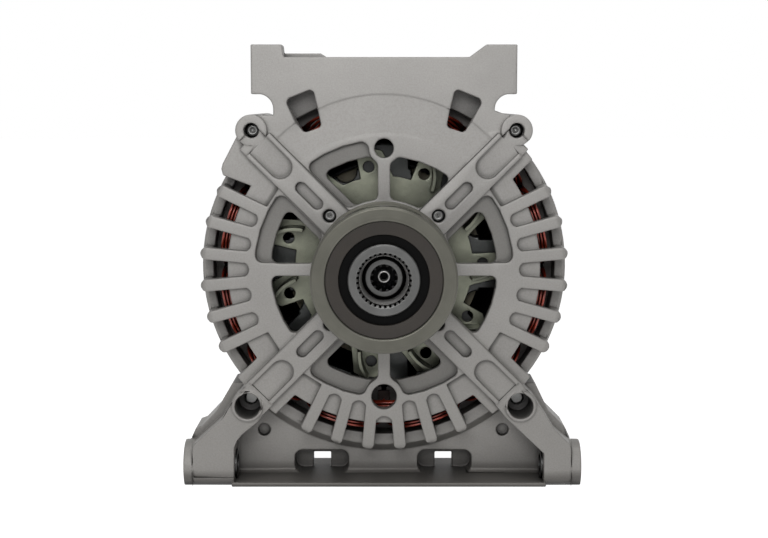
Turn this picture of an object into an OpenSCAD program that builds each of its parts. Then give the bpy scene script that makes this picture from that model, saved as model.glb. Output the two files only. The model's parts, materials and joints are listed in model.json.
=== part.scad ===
/* [Pulley] */
// Diameter over the lips of the belt pulley
pulley_d = 57; // [55:0.5:60]
// Number of belt ribs
rib_count = 6; // [5:1:7]
// Distance from one belt rib to the next
rib_pitch = 3.56; // [3.4:0.02:3.7]
// Depth of the belt grooves
rib_depth = 2.7; // [2.2:0.1:3]
// Length of the plain lip in front of the ribs
lip_front = 9.3; // [7:0.1:12]
// Length of the lip behind the ribs
lip_rear = 3.3; // [2:0.1:5]
// Radius of the recess that holds the front seal
seal_r = 22.7; // [21.8:0.1:23.2]
// Outer radius of the clutch hub
clutch_hub_r = 14.1; // [13.4:0.1:15]
// Root radius of the tool spline in the clutch hub
spline_r = 10.7; // [10:0.1:11]
// Number of teeth in the tool spline
spline_teeth = 33; // [24:1:36]
// Air between the pulley and the housing
pulley_gap = 1.2; // [0.8:0.1:3]

/* [Housing] */
// Height of the centre boss above the front face
hub_raise = 2.8; // [2:0.1:5]
// Thickness of the front face
face_t = 5; // [4:0.5:7]
// Height of the four arms above the front face
arm_raise = 2; // [1:0.1:2.6]
// Width of each arm
arm_w = 13.4; // [12.8:0.1:15]
// Wall around the stator
ring_wall = 3.8; // [3:0.1:5]
// Length of stator that each bracket grips
grip = 8; // [5:0.5:10]
// Outer radius of the cooling windows
window_r = 46.2; // [44:0.1:47]
// Outer radius of the stepped recess around the windows
recess_r = 52.9; // [52:0.1:53.4]
// Depth of the stepped recess
recess_d = 2.8; // [1.5:0.1:3.4]
// Width of each cooling fin
fin_w = 4.9; // [4:0.1:5.4]
// Angle from one fin to the next
fin_step = 10.35; // [10:0.05:10.4]
// Depth of the pockets between the fins
pocket_d = 2.4; // [1:0.1:3.4]

/* [Mounting] */
// Height of the bar top above the shaft
bar_z = 86; // [85:0.5:90]
// Height of the upper lug tops above the shaft
lug_z = 91; // [90.5:0.5:95]
// Half of the width over the upper lugs
lug_x = 53.6; // [52:0.2:56]
// Depth and height of each upper lug
lug_size = 19; // [17:0.5:20]
// Depth of the foot below the shaft
foot_z = 90.6; // [90:0.2:96]
// Reach of the left foot boss from the centre line
foot_x = 83.2; // [82:0.2:86]
// Height of the foot bolts above the underside
foot_bolt_h = 7.6; // [7.2:0.1:8.6]
// Diameter of each foot boss
foot_boss_d = 20.6; // [18:0.2:21]
// Length of the foot along the shaft
foot_len = 44.4; // [42:0.2:60]
// Bore diameter for the mounting bolts
mount_bore_d = 8.5; // [8.2:0.1:9]
// Wall of the steel bushes in the foot
bush_wall = 2; // [1.5:0.1:3]

/* [Through bolts] */
// From the stator to the centre of each upper bolt
bolt_top_gap = 6.15; // [5.8:0.05:6.6]
// Angle of the upper bolts above the middle
bolt_top_angle = 46.6; // [46:0.1:47]
// From the stator to the centre of each lower bolt
bolt_low_gap = 7.8; // [7.2:0.1:8.4]
// Angle of the lower bolts below the middle
bolt_low_angle = 45.1; // [44.5:0.1:46]
// Shank diameter of the through bolts
bolt_d = 5; // [4.5:0.1:5.6]

/* [Rotor and stator] */
// Thickness of the stator behind its slots
yoke_t = 6.3; // [6:0.1:6.8]
// Air gap between rotor and stator
air_gap = 0.4; // [0.3:0.05:0.6]
// Length of the rotor poles along the shaft
pole_len = 36; // [34:0.5:42]
// Number of claws on each pole piece
claw_count = 8; // [6:1:8]
// Length of the stator core
core_len = 32; // [28:0.5:36]
// Outer radius of the stator core
core_r = 71.8; // [71.4:0.1:72.4]
// Depth of the stator slots
slot_depth = 12.5; // [11:0.5:13]
// Number of stator slots
slot_count = 36; // [24:6:48]
// Height of the winding heads beyond the core
head_len = 16.5; // [14:0.5:18]
// Diameter of the shaft at the front bearing
shaft_d = 17; // [15:0.5:18]
// Diameter of the shaft tail under the slip rings
tail_d = 8; // [7:0.5:9]
// Number of blades on each fan
blade_count = 11; // [9:1:13]

/* [Bearings] */
// Outer diameter of the front bearing
front_brg_d = 47; // [44:0.5:47]
// Width of the front bearing
front_brg_w = 14; // [13:0.5:15]
// Outer diameter of the rear bearing
rear_brg_d = 35; // [32:0.5:36]
// Width of the rear bearing
rear_brg_w = 11; // [10:0.5:12]

/* [Rear end] */
// Thickness of the rear end wall
rear_t = 4.5; // [4:0.5:6]
// Radius of the plastic rear cover
cover_r = 64; // [62:0.5:66]
// Wall of the plastic rear cover
cover_wall = 2.2; // [1.6:0.1:3]
// Depth of the plastic rear cover
cover_depth = 31; // [30:0.5:36]
// Diameter of the output terminal stud
stud_d = 8; // [6:0.5:8]
// Length of stud that stands out of its nut
stud_free = 9; // [6:0.5:16]
// Travel of each brush in its holder
brush_travel = 5; // [3:0.5:6]

/* [Hidden] */
// Free play of turning and sliding fits, and of parts that only pass each other
play = 0.05;
seat_play = 0.15;
slack = 0.3;
cut = 1;
$fn = 72;

// Stations along the shaft, counted from the middle of the belt ribs
rib_len = rib_count * rib_pitch;
y_pulley_front = -(rib_len / 2 + lip_front);
y_pulley_rear = rib_len / 2 + lip_rear;
y_hub = y_pulley_rear + pulley_gap;
y_face = y_hub + hub_raise;
y_inner = y_face + face_t;
hub_lip_t = 3.3;
y_brg_f0 = y_hub + hub_lip_t;
y_brg_f1 = y_brg_f0 + front_brg_w;
retainer_t = 2;
screw_head_h = 2.4;
fan_t = 1.6;
y_fan_f = y_brg_f1 + retainer_t + screw_head_h + 1.5;
y_pole0 = y_fan_f + fan_t;
y_pole1 = y_pole0 + pole_len;
y_core0 = (y_pole0 + y_pole1 - core_len) / 2;
y_core1 = y_core0 + core_len;
y_ring0 = y_inner + 8;
y_grip_f = y_core0 + grip;
y_grip_r = y_core1 - grip;
y_head_f = max(y_core0 - head_len, y_inner + 1.5);
y_head_r = y_core1 + head_len;
y_end0 = y_head_r + 2.5;
y_end1 = y_end0 + rear_t;
y_brg_r1 = y_end0 + 2;
y_brg_r0 = y_brg_r1 - rear_brg_w;
y_cover = y_end1 + cover_depth;
y_foot = y_face + foot_len;

// Radii
pulley_r = pulley_d / 2;
shaft_r = shaft_d / 2;
front_brg_r = front_brg_d / 2;
rear_brg_r = rear_brg_d / 2;
bore_r = core_r - yoke_t - slot_depth;
rotor_r = bore_r - air_gap;
ring_in = core_r - 1;
body_r = core_r + ring_wall;
disc_r = core_r - 7.8;
hub_r = front_brg_r + 4;
head_r0 = bore_r + 3.6;
head_r1 = bore_r + slot_depth + 2.8;
clutch_bore_r = 17.6;
bolt_r = bolt_d / 2;
lip_bore_r = 14;
sleeve_t = 1.2;
pocket_rear_r = rear_brg_r + sleeve_t;
rear_hub_r = pocket_rear_r + 4;

// Front face layout
arm_angles = [45, 135, 225, 315];
fin_sides = [0, 180, 270];
fin_rows = [-2.5, -1.5, -0.5, 0.5, 1.5, 2.5];
pocket_rows = [-2, -1, 0, 1, 2];
pocket_r0 = disc_r - 8.5;
spoke_w = 5;
window_r0 = hub_r + 1.1;
top_hole_z = 49.4;
top_hole_r = 3.9;
low_hole_z = -52.6;
low_hole_r = 5.2;
retainer_pcr = 31.2;
retainer_screw_r = 2;
retainer_hole_r = 2.7;
ear_r = 4.6;

// Positions of the four through bolts
bolt_top_x = (core_r + bolt_top_gap) * cos(bolt_top_angle);
bolt_top_z = (core_r + bolt_top_gap) * sin(bolt_top_angle);
bolt_low_x = (core_r + bolt_low_gap) * cos(bolt_low_angle);
bolt_low_z = (core_r + bolt_low_gap) * sin(bolt_low_angle);
bolt_spots = [
  [-bolt_top_x, bolt_top_z], [bolt_top_x, bolt_top_z],
  [-bolt_low_x, -bolt_low_z], [bolt_low_x, -bolt_low_z]
];
bolt_boss_r = 6.4;
top_bore_depth = 10;
low_bore_depth = 16;

// Mounting layout
mount_r = mount_bore_d / 2;
foot_y = y_face + foot_boss_d / 2;
foot_mid_z = -foot_z + foot_bolt_h;
lug_y = foot_y;
lug_mid_z = lug_z - lug_size / 2;
web_z = lug_z - lug_size - 0.8;
lug_in_left = 41;
lug_in_right = 41.2;
bar_t = 6;
web_x = 44.7;
notch_r = 6;
foot_right = foot_x - 1.4;
block_left = foot_x - 3.9;
block_right = foot_right - 4.3;
block_in_left = 62.2;
block_in_right = 66.2;
bush_out = 0.8;
floor_t = 1.8;
floor_z = -foot_z + floor_t;
wall_y0 = y_face + 18;
wall_y1 = y_face + 34;
pocket_back_y = y_face + 28;
wall_cove = 3;

// Rear layout
ring_w = 6;
ring_step = 8.5;
y_slip0 = y_end1 + 3.2;
y_slip1 = y_slip0 + ring_step;
slip_r = tail_d / 2 + 3.9;
y_tail = y_slip1 + ring_w + 1.5;
brush_x = 6;
brush_y = 4.8;
brush_len = 15;
brush_z0 = slip_r + 0.1;
holder_wall = 1.5;
holder_x = brush_x + 2 * (0.15 + holder_wall);
holder_z0 = slip_r + 2.6;
spring_z1 = brush_z0 + brush_len + brush_travel + 6;
plate_in_r = 25;
plate_out_r = cover_r - 9;
neg_y0 = y_end1;
neg_t = 2.6;
pos_y1 = y_end1 + 20;
pos_t = 3;
diode_pcr = plate_out_r - 14;
diode_r = 6.3;
diode_angles = [200, 236, 272, 308, 344];
between_diodes = [218, 254, 290, 326];
cover_spots = [for (a = [-90, 153, -14.5]) (cover_r - 7.8) * [cos(a), sin(a)]];
cover_stud_r = 2;
cover_nut_r = 4.1;
stud_angle = 32.3;
stud_x = (plate_out_r - 10) * cos(stud_angle);
stud_z = (plate_out_r - 10) * sin(stud_angle);
insulator_r = 7;
cover_floor = y_cover - cover_wall;

// A flat drawing in x and z, as thick as from y0 to y1
module plate(y0, y1) {
  translate([0, y1, 0]) rotate([90, 0, 0]) linear_extrude(y1 - y0) children();
}

// A drawing in radius and y, turned about the shaft axis
module turned() {
  rotate([-90, 0, 0]) rotate_extrude($fn = 120) children();
}

// A round bar along the shaft direction
module rod(r, y0, y1, x = 0, z = 0) {
  translate([x, y0, z]) rotate([-90, 0, 0]) cylinder(r = r, h = y1 - y0);
}

// A round bar across the object
module cross_rod(r, x0, x1, y, z) {
  translate([x0, y, z]) rotate([0, 90, 0]) cylinder(r = r, h = x1 - x0);
}

// A ring about the shaft axis
module ring(r0, r1, y0, y1) {
  turned() translate([r0, y0]) square([r1 - r0, y1 - y0]);
}

module box(x0, x1, y0, y1, z0, z1) {
  translate([x0, y0, z0]) cube([x1 - x0, y1 - y0, z1 - z0]);
}

module bars_2d(angles, w, r0, r1) {
  for (a = angles) rotate(a) translate([r0, -w / 2]) square([r1 - r0, w]);
}

module rounded(r) {
  offset(r = r, $fn = 40) offset(delta = -r) children();
}

// Front bracket, the finned and windowed drive end casting
fin_angles = [for (s = fin_sides, k = fin_rows) s + k * fin_step];

// Half of the space between two fins at radius r
function gap_half(r) = r * tan(fin_step / 2) - fin_w / 2 / cos(fin_step / 2);

module fins_2d(r0, r1) {
  bars_2d(fin_angles, fin_w, r0, r1 - fin_w / 2);
  for (a = fin_angles) rotate(a) translate([r1 - fin_w / 2, 0]) circle(r = fin_w / 2);
}

module arms_2d(w, r0, r1) {
  bars_2d(arm_angles, w, r0, r1);
}

// One round ended pocket between two fins; the fins stand over its sides
module pocket_2d(r0) {
  c = r0 + gap_half(r0 + 3);
  w = gap_half(c) + slack;
  translate([c, 0]) circle(r = w);
  polygon([[c, -w], [disc_r + cut, -w - 1], [disc_r + cut, w + 1], [c, w]]);
}

module fin_pockets_2d() {
  for (s = fin_sides, k = pocket_rows)
    rotate(s + k * fin_step) pocket_2d(s == 270 && k == 0 ? -low_hole_z + 8.6 : pocket_r0);
}

// The wider pockets with corners, from the last fin to the arm
module corner_pockets_2d() {
  for (s = fin_sides, d = [-1, 1])
    rotate(s + d * 32.6) rounded(3) translate([pocket_r0 - 1.6, -8.5]) square([14, 17]);
}

// Eight windows; the width left at the arms and at the spokes sets their sides
module windows_2d(r1, at_arms, at_spokes) {
  difference() {
    circle(r = r1);
    circle(r = window_r0);
    arms_2d(at_arms, 0, 70);
    bars_2d([0, 90, 180, 270], at_spokes, 0, 70);
  }
}

// The sectors that have no recess round their window
module plain_sectors_2d() {
  for (a = [67.5, -22.5, 202.5])
    rotate(a) polygon([[0, 0], [80, -80 * tan(22.5)], [80, 80 * tan(22.5)]]);
}

module hole_bosses_2d(grow = 0) {
  translate([0, top_hole_z]) circle(r = top_hole_r + 1.7 + grow);
  translate([0, low_hole_z]) circle(r = low_hole_r + 2.1 + grow);
  translate([-low_hole_r - 2.1, low_hole_z - low_hole_r - 2.1])
    square([2 * low_hole_r + 4.2, low_hole_r + 2.1]);
}

module recess_2d() {
  rounded(3) difference() {
    windows_2d(recess_r, arm_w + 1, spoke_w + 0.6);
    plain_sectors_2d();
    hole_bosses_2d(0.6);
  }
}

module open_windows_2d() {
  rounded(2.4) difference() {
    windows_2d(window_r, 20, spoke_w);
    plain_sectors_2d();
    hole_bosses_2d(0.8);
  }
  rounded(2.4) difference() {
    intersection() {
      windows_2d(window_r, arm_w + 0.4, spoke_w);
      plain_sectors_2d();
    }
    hole_bosses_2d(0.8);
  }
}

// The plate that joins the arms, the bar and the upper lugs
module top_web_2d() {
  polygon([
    [-web_x, 40], [web_x, 40], [web_x, web_z], [lug_x, web_z], [lug_x, lug_z],
    [lug_in_right, lug_z], [lug_in_right - 6.8, bar_z], [-lug_in_left + 0.6, bar_z],
    [-lug_in_left, lug_z], [-lug_x, lug_z], [-lug_x, web_z], [-web_x, web_z]
  ]);
  for (d = [-1, 1]) difference() {
    translate([d > 0 ? web_x - cut : -web_x - notch_r, web_z - notch_r]) square(notch_r + cut);
    translate([d * (web_x + notch_r), web_z - notch_r]) circle(r = notch_r);
  }
  polygon([
    [-web_x + cut, 50], [-web_x + cut, bolt_top_z + 6], [-bolt_top_x, bolt_top_z + 6.2],
    [-bolt_top_x, bolt_top_z]
  ]);
  polygon([
    [web_x - cut, 50], [web_x - cut, bolt_top_z + 8], [bolt_top_x - 1.6, bolt_top_z + 5.8],
    [bolt_top_x, bolt_top_z]
  ]);
}

// Webs that close the gap to the stator ring beside each arm
module side_webs_2d() {
  intersection() {
    arms_2d(22, disc_r - 6, body_r + 4);
    circle(r = body_r - 0.4, $fn = 120);
  }
  rotate(135) polygon([
    [disc_r - 4, 0], [body_r + 6.2, 0], [body_r + 5.3, 3], [body_r + 1.3, 15.9], [body_r + 0.2, 17.8],
    [body_r - 2.1, 19.2], [disc_r - 2, 14]
  ]);
}

// Two openings beside the bar, between the face and the stator ring
module top_windows_2d() {
  rounded(1.8) for (d = [-1, 1])
    polygon([
      [d * 25.2, 58], [d * 32.4, 55.6], [d * 39.4, 67.6], [d * 38.6, 69.4],
      [d * 30, 72.9], [d * 28.4, 72.4]
    ]);
}

// Shallow crescent in the face, under the bar
module crescent_2d() {
  rounded(1.2) difference() {
    translate([0, 10]) circle(r = web_z - 10, $fn = 120);
    circle(r = recess_r + 2.3, $fn = 120);
    translate([-90, -90]) square([180, 90]);
    arms_2d(arm_w + 0.6, 0, 90);
    for (d = [-1, 1]) polygon([[0, 0], [d * 90, 90], [d * 90, 0]]);
  }
}

// Webs from the lower bolts down to the foot
module foot_web_2d() {
  polygon([
    [-40, -49], [-49, -40], [-61, -52], [-67.4, -62.5], [-block_left + 1.2, -72.2], [-block_left, -74],
    [-block_left, -foot_z], [-block_in_left, -foot_z], [-block_in_left + 0.2, -74.1],
    [-60.8, -71.2], [-58.6, -68.5], [-52.1, -63.2]
  ]);
  polygon([
    [40, -49], [49, -40], [61.5, -52], [70.9, -66.8], [block_right - 0.5, -72.7], [block_right, -74],
    [block_right, -foot_z], [block_in_right, -foot_z], [block_in_right, -76.6], [49.8, -61.1]
  ]);
}

// The wider flanges behind them
module foot_flange_2d() {
  polygon([
    [-40, -49], [-63.4, -49], [-70.4, -61], [-76.7, -67.6], [-79.3, -68.5], [-block_left - 1.9, -72.7],
    [-block_left, -76], [-block_left, -foot_z], [-block_in_left, -foot_z], [-block_in_left, -66]
  ]);
  polygon([
    [40, -49], [63.4, -49], [69.2, -61], [76.2, -68], [block_right + 1, -72.9], [block_right, -76],
    [block_right, -foot_z], [block_in_right, -foot_z], [block_in_right, -70]
  ]);
}

// Round ended slot in each arm
module arm_slots_2d() {
  for (a = arm_angles) rotate(a) {
    for (r = [38.2, 47.4]) translate([r, 0]) circle(r = 2.3);
    translate([38.2, -2.3]) square([9.2, 4.6]);
  }
}

// Open pocket round each bolt, its floor rising towards the bolt
module arm_pockets() {
  pocket = arm_w / 2 - 1.9;
  start = core_r - 12.4;
  for (a = arm_angles) rotate([0, -a, 0]) translate([start, y_face + 0.8, 0]) rotate([0, 0, -4])
    plate(-6, 0) {
      circle(r = pocket);
      translate([0, -pocket]) square([19, 2 * pocket]);
    }
}

// Pockets in the foot wall, and the openings through their backs
module wall_pockets_2d() {
  for (x = [-26.5, 25.7]) rounded(3.4) translate([x - 11.5, floor_z]) square([23, 9.7]);
}

module wall_openings_2d() {
  translate([-30.4, floor_z]) square([7.5, 6.6]);
  translate([21.9, floor_z]) square([7.4, 6.6]);
}

module bracket_shell() {
  difference() {
    plate(y_face, y_inner) circle(r = disc_r, $fn = 120);
    plate(y_face - cut, y_face + pocket_d) {
      fin_pockets_2d();
      corner_pockets_2d();
    }
  }
  turned() polygon([
    [ring_in, y_ring0], [body_r - 1.2, y_ring0], [body_r, y_ring0 + 1.2],
    [body_r, y_grip_f], [ring_in, y_grip_f]
  ]);
  intersection() {
    plate(y_face, y_ring0 + 3) fins_2d(50, body_r - 0.2);
    turned() polygon([
      [0, y_face], [body_r - 2.6, y_face], [body_r - 0.8, y_face + 0.8], [body_r, y_face + 2.6],
      [body_r, y_grip_f], [0, y_grip_f]
    ]);
  }
  plate(y_face, y_face + bar_t) top_web_2d();
  plate(y_face - arm_raise, y_inner) arms_2d(arm_w, hub_r - 2, 72);
  plate(y_face, y_grip_f) arms_2d(arm_w, 60, 76);
  plate(y_face + pocket_d, y_grip_f) side_webs_2d();
  for (p = bolt_spots) rod(bolt_boss_r, y_face - arm_raise, y_grip_f, p[0], p[1]);
}

module foot_casting() {
  difference() {
    plate(y_face, wall_y1) foot_web_2d();
    translate([-foot_x, y_face, -foot_z]) rotate([90, 0, 90]) linear_extrude(2 * foot_x) difference() {
      square(4.7);
      translate([4.7, 4.7]) circle(r = 4.7);
    }
  }
  plate(y_face + 13, wall_y1) foot_flange_2d();
  intersection() {
    union() {
      cross_rod(foot_boss_d / 2, -foot_x, -block_in_left, foot_y, foot_mid_z);
      cross_rod(foot_boss_d / 2, block_in_right, foot_right, foot_y, foot_mid_z);
    }
    box(-foot_x - cut, foot_x + cut, y_face - cut, y_foot, -foot_z, 0);
  }
  box(-block_left, block_right, y_face + 4.7, y_foot, -foot_z, floor_z);
  box(-block_in_left - cut, block_in_right + cut, y_face, y_face + 5, -foot_z, floor_z);
  plate(wall_y0, wall_y1)
    polygon([
      [-block_in_left - 2, -foot_z], [block_in_right + 2, -foot_z], [block_in_right + 2, -66],
      [50, -52], [-50, -52], [-block_in_left - 2, -66]
    ]);
  intersection() {
    turned() polygon([
      [ring_in, y_ring0], [body_r, y_ring0], [body_r + 3.5, wall_y0 + 0.2], [ring_in, wall_y0 + 0.2]
    ]);
    plate(y_ring0 - cut, wall_y0 + cut) translate([-58, -foot_z]) square([116, 34]);
  }
  translate([-block_in_left, wall_y0 + cut / 5, floor_z - cut / 5])
    rotate([90, 0, 90]) linear_extrude(block_in_left + block_in_right) difference() {
      translate([-wall_cove, 0]) square(wall_cove);
      translate([-wall_cove, wall_cove]) circle(r = wall_cove);
    }
}

module top_lugs() {
  for (d = [-1, 1]) {
    inner = d < 0 ? lug_in_left : lug_in_right;
    x0 = d > 0 ? inner : -lug_x;
    plate(lug_y - lug_size / 2, lug_y) translate([x0, web_z]) square([lug_x - inner, lug_z - web_z]);
    cross_rod(lug_size / 2, x0, x0 + lug_x - inner, lug_y, lug_mid_z);
    plate(y_face + bar_t - cut, y_grip_f) translate([d > 0 ? web_x - 4 : -web_x, 46]) square([4, 27]);
  }
  plate(lug_y + mount_r + slack, lug_y + mount_r + 4)
    polygon([
      [-lug_in_left - 3, 60], [-20, 70], [-20.5, 84.5], [-26, 87.9], [-lug_in_left - 0.5, 87.9]
    ]);
  plate(y_ring0, y_grip_f) translate([-web_x, 46]) square([2 * web_x, lug_mid_z - mount_r - 0.6 - 46]);
}

module front_hub() {
  turned() polygon([
    [lip_bore_r, y_hub], [hub_r - 2, y_hub], [hub_r + 0.5, y_face + cut],
    [hub_r + 0.5, y_inner], [hub_r, y_inner], [hub_r, y_brg_f1], [lip_bore_r, y_brg_f1]
  ]);
  for (a = arm_angles)
    rod(ear_r, y_face, y_brg_f1, retainer_pcr * cos(a), retainer_pcr * sin(a));
}

module front_casting() {
  difference() {
    union() {
      bracket_shell();
      foot_casting();
      top_lugs();
    }
    ring(hub_r + 1, ring_in, y_inner, y_grip_f + cut);
    rod(core_r + play, y_core0, y_foot + cut);
    rod(hub_r - 2, y_face - arm_raise - cut, y_inner + cut);
    plate(y_face - cut, y_face + recess_d) recess_2d();
    plate(y_face - arm_raise - cut, y_inner + cut) open_windows_2d();
    plate(y_face - arm_raise - cut, y_face + 0.8) arm_slots_2d();
    arm_pockets();
    plate(y_face - cut, y_ring0) top_windows_2d();
    plate(y_face - cut, y_face + 0.4) crescent_2d();
    rod(top_hole_r, y_face - cut, y_inner + cut, 0, top_hole_z);
    rod(low_hole_r, y_face - cut, y_inner + cut, 0, low_hole_z);
    for (d = [-1, 1]) {
      rod(3, y_face - arm_raise - cut, y_face + top_bore_depth, d * bolt_top_x, bolt_top_z);
      rod(bolt_r + play, y_face, y_grip_f + cut, d * bolt_top_x, bolt_top_z);
      rod(5.2, y_face - arm_raise - cut, y_face + low_bore_depth, d * bolt_low_x, -bolt_low_z);
      rod(bolt_r + play, y_face, y_grip_f + 10, d * bolt_low_x, -bolt_low_z);
      rod(8.4, y_grip_f, y_foot + cut, d * bolt_low_x, -bolt_low_z);
    }
    plate(y_ring0 + 1, pocket_back_y) wall_pockets_2d();
    plate(pocket_back_y - cut, y_foot) wall_openings_2d();
    for (x = [-50.9, 50.3]) rod(2.6, y_ring0 - cut, wall_y0 + 3, x, -70.3);
    cross_rod(mount_r + bush_wall, -foot_x - cut, -block_in_left + cut, foot_y, foot_mid_z);
    cross_rod(mount_r + bush_wall, block_in_right - cut, foot_x + cut, foot_y, foot_mid_z);
    cross_rod(mount_r, -lug_x - cut, lug_x + cut, lug_y, lug_mid_z);
  }
}

module front_bracket() color([0.66, 0.65, 0.63]) difference() {
  union() {
    front_casting();
    front_hub();
  }
  rod(front_brg_r, y_brg_f0, y_brg_f1 + cut);
  for (a = arm_angles) {
    rod(retainer_screw_r, y_hub - cut, y_brg_f1 + cut, retainer_pcr * cos(a), retainer_pcr * sin(a));
    rod(retainer_hole_r, y_hub - cut, y_face + 3.5, retainer_pcr * cos(a), retainer_pcr * sin(a));
  }
}

// Steel bushes pressed into the foot bosses
module foot_bushes() color([0.55, 0.55, 0.56]) {
  for (x = [[-foot_x, -block_in_left + bush_out], [block_in_right - bush_out, foot_right]]) difference() {
    cross_rod(mount_r + bush_wall, x[0], x[1], foot_y, foot_mid_z);
    cross_rod(mount_r, x[0] - cut, x[1] + cut, foot_y, foot_mid_z);
  }
}

// Bearing parts, from the bore radius, outer radius, ball pitch and ball radius
module race(r0, r1, y0, y1, pitch, ball) {
  turned() difference() {
    translate([r0, y0]) square([r1 - r0, y1 - y0]);
    translate([pitch, (y0 + y1) / 2]) circle(r = ball + play);
  }
}

module balls(n, pitch, ball, y) {
  for (i = [0:n - 1]) rotate([0, i * 360 / n, 0]) translate([pitch, y, 0]) sphere(r = ball, $fn = 40);
}

front_pitch = (front_brg_r + shaft_r) / 2;
front_ball = (front_brg_r - shaft_r) * 0.29;
rear_shaft_r = 7.5;
rear_pitch = (rear_brg_r + rear_shaft_r) / 2;
rear_ball = (rear_brg_r - rear_shaft_r) * 0.3;
front_gap = 2.6;
rear_gap = 2.1;

module front_bearing_outer_ring() color("silver")
  race(front_pitch + front_gap, front_brg_r, y_brg_f0, y_brg_f1, front_pitch, front_ball);

module front_bearing_inner_ring() color("silver")
  race(shaft_r, front_pitch - front_gap, y_brg_f0, y_brg_f1, front_pitch, front_ball);

module front_bearing_balls() color("gainsboro")
  balls(8, front_pitch, front_ball, (y_brg_f0 + y_brg_f1) / 2);

module front_bearing_seals() color([0.25, 0.2, 0.15])
  for (y = [y_brg_f0 + 0.3, y_brg_f1 - 1.1])
    ring(front_pitch - front_gap + 0.1, front_pitch + front_gap, y, y + 0.8);

module rear_bearing_outer_ring() color("silver")
  race(rear_pitch + rear_gap, rear_brg_r, y_brg_r0, y_brg_r1, rear_pitch, rear_ball);

module rear_bearing_inner_ring() color("silver")
  race(rear_shaft_r, rear_pitch - rear_gap, y_brg_r0, y_brg_r1, rear_pitch, rear_ball);

module rear_bearing_balls() color("gainsboro")
  balls(8, rear_pitch, rear_ball, (y_brg_r0 + y_brg_r1) / 2);

// Plastic sleeve that lets the rear bearing slide as the shaft grows warm
module rear_bearing_sleeve() color([0.2, 0.22, 0.2])
  ring(rear_brg_r, pocket_rear_r, y_brg_r0, y_brg_r1);

// Plate that holds the front bearing, with one ear at each screw
module bearing_retainer() color("silver")
  plate(y_brg_f1, y_brg_f1 + retainer_t) difference() {
    union() {
      circle(r = front_brg_r + 2);
      for (a = arm_angles) rotate(a) {
        translate([retainer_pcr, 0]) circle(r = ear_r);
        translate([front_brg_r, -ear_r]) square([retainer_pcr - front_brg_r, 2 * ear_r]);
      }
    }
    circle(r = front_pitch + front_gap - 0.5);
    for (a = arm_angles) rotate(a) translate([retainer_pcr, 0]) circle(r = retainer_screw_r);
  }

module retainer_screws() color("dimgray")
  for (a = arm_angles) translate([retainer_pcr * cos(a), 0, retainer_pcr * sin(a)]) {
    rod(retainer_screw_r, y_face + 4.2, y_brg_f1 + retainer_t);
    difference() {
      rod(3.5, y_brg_f1 + retainer_t, y_brg_f1 + retainer_t + screw_head_h);
      translate([0, y_brg_f1 + retainer_t + screw_head_h + cut, 0]) rotate([90, 0, 0])
        cylinder(r = 1.8, h = 1.4 + cut, $fn = 6);
    }
  }

// Laminated stator core with open slots
tooth_lip = 1.4;
slot_w = 5.4;

module stator_core() color([0.35, 0.34, 0.33]) plate(y_core0, y_core1) difference() {
  circle(r = core_r, $fn = 120);
  circle(r = bore_r, $fn = 120);
  for (i = [0:slot_count - 1]) rotate(i * 360 / slot_count) {
    translate([bore_r - cut, -1.1]) square([tooth_lip + 2 * cut, 2.2]);
    translate([bore_r + tooth_lip, -slot_w / 2]) square([slot_depth - tooth_lip, slot_w]);
  }
}

module slot_conductors() color([0.55, 0.16, 0.08]) plate(y_core0, y_core1)
  for (i = [0:slot_count - 1]) rotate(i * 360 / slot_count)
    translate([bore_r + tooth_lip + 0.3, -slot_w / 2 + 0.3])
      square([slot_depth - tooth_lip - 0.6, slot_w - 0.6]);

// Heads of the stator winding, one lobe for each slot
module winding_head(y_core, y_tip, out) color([0.6, 0.18, 0.08]) difference() {
  turned() polygon([
    [head_r0, y_core], [head_r0, y_tip - out * 3], [head_r0 + 2.5, y_tip],
    [head_r1 - 3.5, y_tip], [head_r1, y_tip - out * 4], [head_r1, y_core]
  ]);
  plate(min(y_core, y_tip) - cut, max(y_core, y_tip) + cut) for (i = [0:slot_count - 1])
    rotate((i + 0.5) * 360 / slot_count) translate([head_r1 + 0.6, 0]) circle(r = 1.6);
}

module front_winding_head() winding_head(y_core0, y_head_f, -1);

module rear_winding_head() winding_head(y_core1, y_head_r, 1);

// Rotor shaft, from its threaded pulley end to the slip ring tail
y_shaft_end = y_pulley_front + 9;
socket_r = 5.3;
body_shaft_r = 12;

module rotor_shaft() color("lightgray") difference() {
  turned() polygon([
    [0, y_shaft_end], [shaft_r - 1.3, y_shaft_end], [shaft_r, y_shaft_end + 1.3],
    [shaft_r, y_brg_f1], [body_shaft_r, y_brg_f1], [body_shaft_r, y_pole1 + 2],
    [rear_shaft_r + 2.5, y_pole1 + 2], [rear_shaft_r + 2.5, y_brg_r0], [rear_shaft_r, y_brg_r0],
    [rear_shaft_r, y_brg_r1], [tail_d / 2, y_brg_r1], [tail_d / 2, y_tail - 0.6],
    [tail_d / 2 - 0.6, y_tail], [0, y_tail]
  ]);
  plate(y_shaft_end - cut, y_shaft_end + 13) {
    circle(r = socket_r - 0.9);
    for (i = [0:11]) rotate(i * 30) translate([socket_r - 1.4, -0.7]) square([1.4, 1.4]);
  }
}

// Claw pole piece with its front face at y = 0, claws pointing along +y
claw_half0 = 360 / claw_count / 2 * 0.46;
claw_root = rotor_r * sin(claw_half0) + 0.9;
claw_tip = claw_root * 0.54;
claw_len = pole_len - 3;
pole_disc_t = 10;
coil_r0 = rotor_r - 27.6;
coil_r1 = rotor_r - 9.6;
bobbin_r = coil_r1 - 1.5;
pole_disc_r = rotor_r - 11;

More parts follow.
